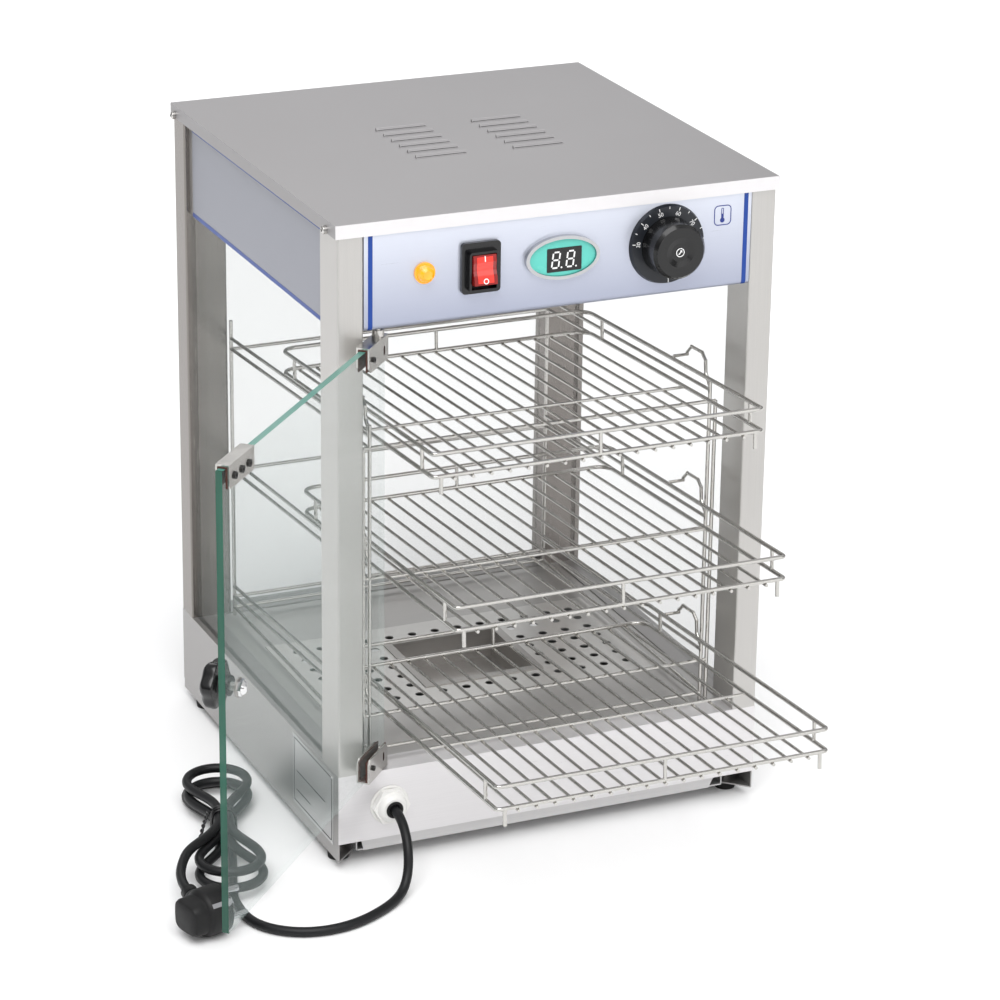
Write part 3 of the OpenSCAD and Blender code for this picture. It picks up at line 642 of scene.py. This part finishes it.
# painted shade: the rear posts are the same steel as the front posts, painted
# darker as if in shade inside the case
shaded_rear_post = brushed("rear_post_steel", srgb("8a8581"),
                    0.24, 0.9, BRUSH_Z, 0.025)
clamp_mat = polished("clamp_chrome", srgb("c9c7c3"), 0.2)
bezel_mat = polished("bezel_chrome", srgb("b9babc"), 0.1)
screw_mat = polished("screw_steel", srgb("cfcdca"), 0.2)
nut_mat = polished("acorn_chrome", srgb("e2e2e2"), 0.1)
black_gloss = moulded("black_gloss", srgb("0d0d0f"), 0.22, 600, 0.00001, 0.3)
knob_mat = moulded("knob_black", srgb("0b0b0c"), 0.24, 500, 0.00001, 0.3)
scale_mat = moulded("scale_black", srgb("1d2026"), 0.34, 700, 0.00002, 0.15)
rubber_mat = moulded("foot_rubber", srgb("141414"), 0.7, 500, 0.00008)
pad_mat = moulded("pad_rubber", srgb("4a2a22"), 0.65, 500, 0.00006)
gland_mat = moulded("gland_plastic", srgb("e6e5e2"),
                    0.35, 500, 0.00003, 0.1, 0.03)
grub_mat = moulded("grub_black", srgb("1d1c1b"), 0.4, 500, 0.00003)
amber_mat = lens("amber_lens", srgb("f2a316"), 0.1, 0.35)
red_mat = lens("rocker_red", srgb("8f1a18"), 0.12, 0.08)
red_lit = lens("rocker_window", srgb("e8352a"), 0.12, 0.35)
teal_mat = moulded("display_teal", srgb("5cc8ba"),
                   0.25, 900, 0.00001, 0.4, 0.03)
label_mat = brushed("label_film", srgb("9799a2"), 0.4, 0.25, BRUSH_Y, 0.015)
blue_mat = moulded("print_blue", srgb("0e3f94"), 0.35, 900, 0.00001, 0.1, 0.05)
ink_mat = moulded("print_navy", srgb("2b3a86"), 0.4, 900, 0.00001, 0.0, 0.05)
white_ink = moulded("print_white", srgb("f2f2f2"),
                    0.45, 900, 0.00001, 0.0, 0.02)
plate_mat = brushed("plate_foil", srgb("c6c6c6"), 0.36, 0.7, BRUSH_Y, 0.02)
shadow_mat = moulded("slot_shade", srgb("0c0c0c"), 0.8, 300, 0.00003)
steel_plain = brushed("bare_steel", srgb("a9a7a4"), 0.4, 0.9, BRUSH_Z, 0.06)
element_mat = moulded("element_scale", srgb("3a3633"), 0.6, 400, 0.00008)
cream_mat = moulded("terminal_cream", srgb("d9d5c8"), 0.5, 500, 0.00005)

# the door's own axes at rest, 133 degrees open
DOOR_PIVOT = (-0.142, -0.1725, 0)
DOOR_TURN = math.radians(-133)
DOOR_X = (math.cos(DOOR_TURN), math.sin(DOOR_TURN), 0)
DOOR_Y = (-math.sin(DOOR_TURN), math.cos(DOOR_TURN), 0)
side_glass = pane_material("side_glass", srgb("8b9c99"), (1, 0, 0), None, 0.09)
back_glass = pane_material("back_glass", srgb("8b9c99"), (0, 1, 0), None, 0.12)
door_glass = pane_material("door_pane", srgb("a9bcb8"), DOOR_Y,
                           (DOOR_X, 0.5095, 0.4192), 0.10)

LOOKS = {
    "top_cover": sheet_top, "cover_screws": screw_mat,
    "posts_front": post_mat, "posts_back": shaded_rear_post,
    "control_panel": panel_mat, "fascia_left": shaded_side_mat,
    "fascia_right": shaded_side_mat, "fascia_back": shaded_side_mat, "ceiling": inner_mat,
    "glass_left": side_glass, "glass_right": side_glass,
    "glass_back": back_glass, "base_front": base_mat,
    "base_sides": shaded_side_mat, "base_back": shaded_side_mat, "bottom_pan": pan_mat,
    "floor_sheet": inner_mat, "floor_plate": floor_mat, "feet": rubber_mat,
    "foot_screws": screw_mat, "foot_nuts": screw_mat,
    "water_tray": tray_mat, "heating_element": element_mat,
    "element_clips": steel_plain, "terminal_block": cream_mat,
    "rating_plate": plate_mat, "rack_left": wire_mat,
    "rack_right": wire_mat, "rack_bars": wire_mat, "rack_hooks": wire_mat,
    "heat_lamp": amber_mat, "lamp_body": black_gloss,
    "switch_housing": black_gloss, "rocker": red_mat,
    "display_bezel": bezel_mat, "display_window": teal_mat,
    "display_module": black_gloss, "dial_knob": knob_mat,
    "dial_skirt": scale_mat, "dial_shaft": steel_plain,
    "thermostat": steel_plain, "magnet_catch": rubber_mat,
    "gland_nuts": gland_mat, "gland_dome": gland_mat,
    "door_glass": door_glass, "hinge_clamps": clamp_mat,
    "hinge_pins": clamp_mat, "strike_clamp": clamp_mat,
    "clamp_pads": pad_mat, "clamp_screws": grub_mat,
    "handle_knob": black_gloss, "handle_spacer": steel_plain,
    "handle_nut": nut_mat, "shelf_top": wire_mat,
    "shelf_middle": wire_mat, "shelf_bottom": wire_mat,
    "plug_pins": bezel_mat,
}
for name, look in LOOKS.items():
    ob = nodes[name]
    ob.data.materials.clear()
    ob.data.materials.append(look)


# ---------------------------------------------------------------- panel print
INK = 0.00014
PANEL_TOP = 0.5065
BEND_Z, BEND_R = 0.432, 0.004
STRIPE_X = (-0.14975, 0.15025)
STRIPE_HALF = 0.00175
ICON_X, ICON_Z = 0.1308, 0.4848


def panel_print():
    """Two stripes that wrap the panel's lower edge, and an icon."""
    flat, turn = PANEL_Y - INK, BEND_R + INK
    bend = [(flat, PANEL_TOP), (flat, BEND_Z)]
    bend += [(PANEL_Y + BEND_R - turn * math.cos(math.radians(d)),
              BEND_Z - turn * math.sin(math.radians(d)))
             for d in (15, 30, 45, 60)]
    b = Build()
    for x in STRIPE_X:
        left, right = x - STRIPE_HALF, x + STRIPE_HALF
        b.rings([[(left, y, z), (right, y, z),
                  (right, y + INK, z), (left, y + INK, z)]
                 for y, z in bend])
    b.piece("panel_stripes", "cabinet", blue_mat)
    b = Build()
    b.prism(rounded(0.0142, 0.0155, 0.0034), INK, on_front(0.131, 0.4843),
            inner=rounded(0.0128, 0.0141, 0.0028))
    on_icon = on_front(ICON_X, ICON_Z)
    b.prism(rounded(0.0020, 0.0088, 0.0009, 6, 0, 0.0008), INK, on_icon,
            inner=rounded(0.0009, 0.0078, 0.0004, 6, 0, 0.0008))
    b.prism(circle(0.0019, 20, 0, -0.0042), INK, on_icon)
    b.prism(rounded(0.0010, 0.0052, 0.0004, 3, 0, -0.0018), INK,
            on_front(ICON_X, ICON_Z, PANEL_Y - INK / 2))
    b.piece("panel_icon", "cabinet", ink_mat)


panel_print()


DISPLAY_X, DISPLAY_Z = 0.00155, 0.4657
GLASS_Y = PANEL_Y - 0.002
GLASS_T = 0.0003
DIGIT_W, DIGIT_H = 0.0066, 0.0118
BAR = 0.0012
SLANT = 0.12


def seven_segments(b, x):
    """The digit 8 and its point, slanted a little."""
    gap = 0.0002
    w, h = DIGIT_W, DIGIT_H
    plane = on_front(x, DISPLAY_Z, GLASS_Y - GLASS_T)
    bars = []
    for cy in (-h / 2, 0, h / 2):
        bars.append((0, cy, w - 2 * BAR - gap, BAR))
    for cx in (-w / 2 + BAR / 2, w / 2 - BAR / 2):
        for cy in (-h / 4, h / 4):
            bars.append((cx, cy, BAR, h / 2 - BAR - gap))
    for cx, cy, bw, bh in bars:
        out = rounded(bw, bh, min(bw, bh) * 0.3, 2, cx, cy)
        b.prism([(px + SLANT * py, py) for px, py in out], 0.0001, plane)
    b.prism(circle(0.0007, 12, w / 2 + 0.0012, -h / 2), 0.0001, plane)


def display():
    b = Build()
    b.prism(rounded(0.0277, 0.0181, 0.0008, 3), GLASS_T,
            on_front(DISPLAY_X, DISPLAY_Z, GLASS_Y))
    b.piece("display_glass", "cabinet", black_gloss)
    b = Build()
    for x in (-0.0052, 0.0064):
        seven_segments(b, x)
    b.piece("display_digits", "cabinet", white_ink)


display()


DIAL_X, DIAL_Z = 0.085, 0.4675
SKIRT_Y = PANEL_Y - 0.0034
KNOB_FACE_Y = PANEL_Y - 0.0237
FIRST_MARK, MARK_STEP = 174, 17
TICK_OUTER = 0.0293
NUMBER_R = 0.0243


def dial_marks():
    """Generic scale of 30 to 90, and the marks on the knob."""
    on_dial = on_front(DIAL_X, DIAL_Z, SKIRT_Y)
    b = Build()
    for i in range(13):
        inner = 0.0268 if i % 2 == 0 else 0.0276
        b.prism(rounded(TICK_OUTER - inner, 0.00055, 0.0001, 2,
                        (TICK_OUTER + inner) / 2, 0),
                0.00012, on_dial @ turn_z(FIRST_MARK - MARK_STEP * i))
    b.prism(rounded(0.0038, 0.0007, 0.0001, 2, 0.0272, 0), 0.00012,
            on_dial @ turn_z(-88))
    b.piece("dial_ticks", "cabinet", white_ink)
    for k, n in enumerate(range(30, 100, 10)):
        ang = math.radians(FIRST_MARK - 2 * MARK_STEP * k)
        data = bpy.data.curves.new(f"dial_number_{n}", "FONT")
        data.body = str(n)
        data.size = 0.0044
        data.align_x = "CENTER"
        data.align_y = "CENTER"
        data.extrude = 0.00005
        ob = bpy.data.objects.new(f"dial_number_{n}", data)
        bpy.context.scene.collection.objects.link(ob)
        ob.matrix_world = (
            on_front(DIAL_X + NUMBER_R * math.cos(ang),
                     DIAL_Z + NUMBER_R * math.sin(ang),
                     SKIRT_Y - 0.00005)
            @ Matrix.Rotation(ang - math.pi / 2, 4, "Z"))
        finish_piece(ob, "cabinet", white_ink)
    b = Build()
    m = on_front(DIAL_X, DIAL_Z, KNOB_FACE_Y)
    b.prism(circle(0.0034, 32), 0.0002, m, inner=circle(0.0028, 32))
    b.prism([(-0.0004, -0.002), (0.0004, -0.002), (0.0004, 0.0008),
             (0.0013, 0.0008), (0, 0.0022), (-0.0013, 0.0008),
             (-0.0004, 0.0008)], 0.0002, m @ turn_z(-40))
    b.piece("knob_mark", "dial", white_ink)
    b = Build()
    b.prism(rounded(0.0009, 0.0045, 0.0002, 2, 0, -0.0232), 0.0011,
            on_front(DIAL_X, DIAL_Z, PANEL_Y - 0.0040))
    b.piece("knob_pointer", "dial", white_ink)


dial_marks()


ROCKER_PIVOT = (-0.0644, -0.176, 0.4656)
ROCKER_TILT = -9
ROCKER_FACE = -0.0115
WINDOW_HALF = 0.0062
DISH_R, DISH_HALF, DISH_CENTRE = 0.0132, 0.0055, -0.0235


def switch_marks():
    """A lit window that follows the rocker's dished face, line and ring."""
    tilt = (Matrix.Translation(ROCKER_PIVOT)
            @ Matrix.Rotation(math.radians(ROCKER_TILT), 4, "X"))
    line = []
    for i in range(-12, 13):
        z = 0.0096 * i / 12
        y = ROCKER_FACE
        if abs(z) < DISH_HALF:
            dish = math.sqrt(DISH_R ** 2 - z * z)
            y = max(ROCKER_FACE, DISH_CENTRE + dish)
        line.append((y, z))
    b = Build()
    b.rings([[(-WINDOW_HALF, y - 0.0002, z), (WINDOW_HALF, y - 0.0002, z),
              (WINDOW_HALF, y + 0.0003, z), (-WINDOW_HALF, y + 0.0003, z)]
             for y, z in line], tilt)
    b.piece("rocker_window", "switch_rocker", red_lit)
    b = Build()
    flat = tilt @ on_front(0, 0, ROCKER_FACE - 0.0002)
    b.prism(rounded(0.0008, 0.0042, 0.0002, 2, 0, 0.0082), 0.0001, flat)
    b.prism(circle(0.0021, 28, 0, -0.0082), 0.0001, flat,
            inner=circle(0.0014, 28, 0, -0.0082))
    b.piece("rocker_marks", "switch_rocker", white_ink)


switch_marks()


# ---------------------------------------------------------------- side labels
LABEL_X, LABEL_Y, LABEL_Z = 0.1706, 0.002, 0.4605
LABEL_W, LABEL_H, LABEL_T = 0.288, 0.071, 0.00015


def side_labels():
    """Film on both side fascias, with a thick and a thin blue line."""
    for side, tag in ((-1, "left"), (1, "right")):
        m = on_side(side, side * LABEL_X, LABEL_Y, LABEL_Z)
        b = Build()
        b.prism(rounded(LABEL_W, LABEL_H, 0.0005, 2), LABEL_T, m)
        b.piece(f"side_label_{tag}", "cabinet", label_mat)
        b = Build()
        for height, at in ((0.0034, -0.0338), (0.0009, 0.0340)):
            b.prism(rounded(LABEL_W, height, 0.0002, 2, 0, at),
                    LABEL_T * 2, m)
        b.piece(f"side_label_lines_{tag}", "cabinet",
                blue_mat)


side_labels()


def rating_frame():
    """Border, two plain lines and four rivets on the blank plate."""
    m = on_side(-1, -0.1754, -0.1235, 0.047)
    lift = 0.00018
    b = Build()
    b.prism(rounded(0.080, 0.053, 0.002, 4), lift, m,
            inner=rounded(0.0786, 0.0516, 0.0014, 4))
    b.prism(rounded(0.030, 0.0007, 0.0002, 2, -0.02, -0.016), lift, m)
    b.prism(rounded(0.060, 0.0007, 0.0002, 2, -0.004, 0.0), lift, m)
    b.piece("rating_plate_frame", "cabinet", grub_mat)
    b = Build()
    for sy in (-1, 1):
        for sz in (-1, 1):
            b.lathe([(AXIS, 0), (0.0011, 0), (0.0009, 0.0004),
                     (AXIS, 0.0005)],
                    m @ Matrix.Translation((sy * 0.0402, sz * 0.0265, 0)), 16)
    b.piece("rating_plate_rivets", "cabinet", nut_mat, True)


rating_frame()


# ---------------------------------------------------------------- cover
COVER_X = 0.179
SCREW_PLACES = [(side, y) for side in (-1, 1) for y in (-0.160, 0.168)]
SCREW_Z = 0.5025


def cover_details():
    """Domes of the four cover screws, and their cross slots as dark marks of
    painted shade.
    """
    b = Build()
    for side, y in SCREW_PLACES:
        b.lathe([(AXIS, -0.0002), (0.0031, -0.0002), (0.0027, 0.0009),
                 (0.0016, 0.0014), (AXIS, 0.0015)],
                on_side(side, side * COVER_X, y, SCREW_Z), 28)
    b.piece("cover_screw_domes", "cabinet", screw_mat, True)
    # painted shade: flat dark marks on the domes stand in for the shade in the
    # cross slots
    b = Build()
    for side, y in SCREW_PLACES:
        face = on_side(side, side * (COVER_X + 0.0014), y, SCREW_Z)
        for w, h in ((0.0026, 0.0006), (0.0006, 0.0026)):
            b.prism(rounded(w, h, 0.0002, 2), 0.00015, face)
    b.piece("cover_screw_slot_shade", "cabinet", shadow_mat)


cover_details()


# ---------------------------------------------------------------- gland seal
CORD_EXIT = (-0.134, -0.188, 0.050)


def gland_seal():
    """Black seal round the cord, and the gland's flange washer."""
    m = on_front(CORD_EXIT[0], CORD_EXIT[2])
    b = Build()
    b.lathe([(0.0039, 0.0100), (0.0068, 0.0112), (0.0066, 0.0119),
             (0.0056, 0.0122), (0.0039, 0.0116)], m, 40)
    b.piece("gland_seal", "cabinet", rubber_mat, True)
    b = Build()
    b.lathe([(0.0130, 0.0001), (0.0156, 0.0001), (0.0156, 0.0008),
             (0.0130, 0.0009)], m, 48)
    b.piece("gland_washer", "cabinet", gland_mat, True)


gland_seal()


# ---------------------------------------------------------------- tie
def cord_tie():
    """Three turns of wire round the hank, ending in a twisted tail."""
    b = Build()
    for s, turn in ((72.0, 0.0), (76.2, 1.1), (80.0, 2.2)):
        pts = []
        for i in range(33):
            a = 2 * math.pi * i / 32
            ca, sa = math.cos(a), math.sin(a)
            lat = 9.3 * math.copysign(abs(ca) ** 0.6, ca)
            z = 15.2 + 14.0 * math.copysign(abs(sa) ** 0.75, sa)
            p = hank_point(s + 0.8 * math.sin(a + turn), lat, min(z, 28.9))
            pts.append(Vector(p) * MM)
        b.tube(pts, 0.0009)
    for phase in (0, math.pi):
        pts = []
        for i in range(25):
            u = i / 24
            r = 1.0 * (1 - 0.2 * u)
            base = Vector(hank_point(76 - 26 * u, 11.5 + 9 * u,
                                     26.5 - 12.5 * u * u))
            pts.append((base + HANK_N * r * math.cos(phase + u * 22)
                        + Vector((0, 0, r * math.sin(phase + u * 22)))) * MM)
        b.tube(pts, 0.0008)
    b.piece("cord_tie", "cabinet", black_gloss, True)


cord_tie()


# ---------------------------------------------------------------- plug
PLUG = Vector((-0.302, -0.234, 0.019))
# z along the pins, for the body; z along the cord, for the boss
PLUG_M = (Matrix.Translation(PLUG) @ turn_z(15)
          @ Matrix(((0, 0, 1, 0), (1, 0, 0, 0), (0, 1, 0, 0), (0, 0, 0, 1))))
BOSS_M = (Matrix.Translation(PLUG)
          @ Matrix(((1, 0, 0, 0), (0, 0, 1, 0), (0, 1, 0, 0), (0, 0, 0, 1))))
PIN_ROOTS = [(s * 0.0057, s * 0.0076, 0.0135) for s in (-1, 1)]


def superellipse(z, ax, ay, power, n=48):
    out = []
    for i in range(n):
        a = 2 * math.pi * i / n
        c, s = math.cos(a), math.sin(a)
        k = (abs(c) ** power + abs(s) ** power) ** (-1 / power)
        out.append((ax * k * c, ay * k * s, z))
    return out


def auto_smooth(ob, angle):
    """Smooth, with edges sharper than angle kept crisp."""
    me = ob.data
    for f in me.polygons:
        f.use_smooth = True
    bm = bmesh.new()
    bm.from_mesh(me)
    lim = math.radians(angle)
    for e in bm.edges:
        if len(e.link_faces) == 2 and e.calc_face_angle(0) > lim:
            e.smooth = False
    bm.to_mesh(me)
    bm.free()


def plug():
    """A round mains plug on its side, with two side earth strips."""
    b = Build()
    b.lathe([(AXIS, -0.0065), (0.0150, -0.0065), (0.0166, -0.0052),
             (0.0178, -0.0038), (0.0183, -0.0020), (0.0184, 0.0040),
             (0.0184, 0.0120), (0.0181, 0.0134), (0.0174, 0.0140),
             (0.0120, 0.0140), (0.0116, 0.0134), (AXIS, 0.0134)],
            PLUG_M, 64)
    # the back eases from round to a squared grip: z, half sizes, power
    b.rings([superellipse(z, ax, ay, power) for z, ax, ay, power in (
        (-0.0045, 0.0160, 0.0160, 2.0), (-0.0065, 0.0152, 0.0148, 2.3),
        (-0.0090, 0.0146, 0.0132, 3.4), (-0.0150, 0.0142, 0.0122, 4.0),
        (-0.0170, 0.0134, 0.0114, 4.0), (-0.0180, 0.0116, 0.0098, 4.0))],
        PLUG_M)
    b.lathe([(AXIS, 0.004), (0.0112, 0.004), (0.0109, 0.010),
             (0.0098, 0.017), (0.0082, 0.0225), (0.0066, 0.0255),
             (0.0062, 0.0265), (0.0062, 0.0352), (0.0050, 0.0360),
             (AXIS, 0.0360)], BOSS_M)
    for k in range(4):
        z = 0.0268 + 0.0022 * k
        r = 0.0066 - 0.0003 * k
        b.lathe([(0.0040, z), (r, z), (r, z + 0.0012),
                 (0.0040, z + 0.0012)], BOSS_M, 40)
    body = b.piece("plug_moulded", "cabinet", plug_mat, True)
    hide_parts("plug_body")
    auto_smooth(body, 35)
    b = Build()
    for half_turn in (0, math.pi):
        roll = math.atan2(0.6, -0.8) + half_turn
        strip = PLUG_M @ Matrix.Rotation(roll, 4, "Z")
        b.box((0.0150, -0.0017, -0.0030), (0.0187, 0.0017, 0.0141), strip)
        b.box((0.0120, -0.0027, 0.0139), (0.0186, 0.0027, 0.0146), strip)
        ring = (strip @ Matrix.Translation((0.0184, 0, 0.0100))
                @ Matrix.Rotation(math.pi / 2, 4, "Y"))
        b.lathe([(0.0013, 0), (0.0033, 0), (0.0033, 0.0006),
                 (0.0013, 0.0006)], ring, 28)
    strips = b.piece("plug_earth_strips", "cabinet", bezel_mat)
    b = Build()
    for root in PIN_ROOTS:
        b.lathe([(0.00245, 0), (0.0034, 0), (0.0034, 0.0012),
                 (0.00245, 0.0018)], PLUG_M @ Matrix.Translation(root), 28)
    b.piece("plug_pin_collars", "cabinet", plug_mat, True)
    return [body, strips, nodes["plug_pins"]]


plug_pieces = plug()


# ---------------------------------------------------------------- weld beads
RACK_X = 0.1391
RACK_ENDS = (-0.150, 0.149)
SLOPE = math.tan(math.radians(3.5))


def rack_welds():
    """Small blobs where the rack's wires are spot welded."""
    places = []
    for level in (0.3336, 0.230, 0.1184):
        front = level - 0.0055
        for side in (-1, 1):
            for y in RACK_ENDS:
                places.append((side, y, front - (y - RACK_ENDS[0]) * SLOPE))
    places += [(side, y, 0.085) for side in (-1, 1) for y in RACK_ENDS]
    b = Build()
    for side, y, z in places:
        b.lathe([(AXIS, -0.0019), (0.0013, -0.0014), (0.0019, 0),
                 (0.0013, 0.0014), (AXIS, 0.0019)],
                Matrix.Translation((side * RACK_X, y, z)), 14)
    b.piece("rack_welds", "cabinet", wire_mat, True)


rack_welds()


# ---------------------------------------------------------------- door knob
def lobes(z, k, n=96):
    """Six-lobed ring at height z, k times its full size."""
    out = []
    for i in range(n):
        a = 2 * math.pi * i / n
        r = k * (0.0165 + 0.0010 * math.cos(6 * (a - math.radians(7))))
        out.append((r * math.cos(a), r * math.sin(a), z))
    return out


def door_knob():
    """Six-lobed clamping knob with a bevelled, slightly dished face."""
    at = (Matrix.Translation(DOOR_PIVOT)
          @ Matrix.Rotation(DOOR_TURN, 4, "Z")
          @ Matrix.Translation((0.2675, 0, 0.258))
          @ Matrix(((1, 0, 0, 0), (0, 0, -1, 0), (0, 1, 0, 0), (0, 0, 0, 1))))
    b = Build()
    b.rings([lobes(z, k) for z, k in (
        (0.0095, 0.93), (0.0101, 0.985), (0.0110, 1.0), (0.0158, 1.0),
        (0.0168, 0.985), (0.0186, 0.90), (0.0193, 0.85), (0.0195, 0.78),
        (0.0193, 0.50), (0.0188, 0.30))], at)
    b.lathe([(AXIS, 0.0025), (0.0070, 0.0025), (0.0074, 0.0030),
             (0.0074, 0.0090), (0.0082, 0.0098), (AXIS, 0.0098)], at)
    knob = b.piece("door_knob_star", "door", knob_mat)
    auto_smooth(knob, 40)
    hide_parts("handle_knob")


door_knob()


# ---------------------------------------------------------------- stage
FLOOR_HALF = 12
# world tone by height: 0 straight down, 0.5 level, 1 straight up
WORLD_TONES = ((0.0, 0.45), (0.48, 0.60), (0.56, 0.20), (0.68, 0.30),
               (0.80, 0.75), (1.0, 0.62))
AREA_LIGHTS = (("key", (-1.4, -2.0, 2.4), (0, 0, 0.2), (1.6, 1.6), 16),
               ("front", (0.9, -2.8, 1.2), (0, 0, 0.3), (1.8, 1.4), 12),
               ("back", (0.6, 2.2, 2.2), (0, 0, 0.3), (1.6, 1.2), 10))


def aimed(direction):
    """Rotation that points a light along direction."""
    return Vector(direction).to_track_quat("-Z", "Y").to_euler()


def stage_floor():
    me = bpy.data.meshes.new("studio_floor")
    h = FLOOR_HALF
    me.from_pydata([(-h, -h, 0), (h, -h, 0), (h, h, 0), (-h, h, 0)],
                   [], [(0, 1, 2, 3)])
    ob = bpy.data.objects.new("studio_floor", me)
    bpy.context.scene.collection.objects.link(ob)
    m, t, p = base_material("studio_white")
    fac = noise(t, coords(t, EVEN), 1.0, 1.0)
    t.links.new(ramp(t, fac, (0.93, 0.93, 0.93), (0.95, 0.95, 0.95)),
                p.inputs["Base Color"])
    p.inputs["Roughness"].default_value = 0.9
    p.inputs["Specular IOR Level"].default_value = 0.1
    me.materials.append(m)


def stage_world():
    world = bpy.data.worlds.new("studio")
    bpy.context.scene.world = world
    world.use_nodes = True
    wt = world.node_tree
    bg = wt.nodes["Background"]
    sky = wt.nodes.new("ShaderNodeTexCoord")
    sep = wt.nodes.new("ShaderNodeSeparateXYZ")
    wt.links.new(sky.outputs["Generated"], sep.inputs[0])
    lift = wt.nodes.new("ShaderNodeMapRange")
    lift.inputs["From Min"].default_value = -1
    wt.links.new(sep.outputs["Z"], lift.inputs["Value"])
    grade = wt.nodes.new("ShaderNodeValToRGB")
    cr = grade.color_ramp
    while len(cr.elements) < len(WORLD_TONES):
        cr.elements.new(0.5)
    for e, (at, k) in zip(cr.elements, WORLD_TONES):
        e.position = at
        e.color = (k, k, k * 1.01, 1)
    wt.links.new(lift.outputs["Result"], grade.inputs["Fac"])
    wt.links.new(grade.outputs["Color"], bg.inputs["Color"])
    bg.inputs["Strength"].default_value = 1.0


def stage_lights():
    sun = bpy.data.lights.new("soft_sun", "SUN")
    sun.angle = math.radians(50)
    sun.energy = 2.0
    ob = bpy.data.objects.new("soft_sun", sun)
    ob.rotation_euler = aimed((0.25, 0.75, -1.5))
    bpy.context.scene.collection.objects.link(ob)
    for name, place, target, size, power in AREA_LIGHTS:
        data = bpy.data.lights.new(name, "AREA")
        data.shape = "RECTANGLE"
        data.size, data.size_y = size
        data.energy = power
        ob = bpy.data.objects.new(name, data)
        ob.location = place
        ob.rotation_euler = aimed(Vector(target) - Vector(place))
        bpy.context.scene.collection.objects.link(ob)
    bpy.context.scene.view_settings.view_transform = "Standard"


stage_floor()
stage_world()
stage_lights()
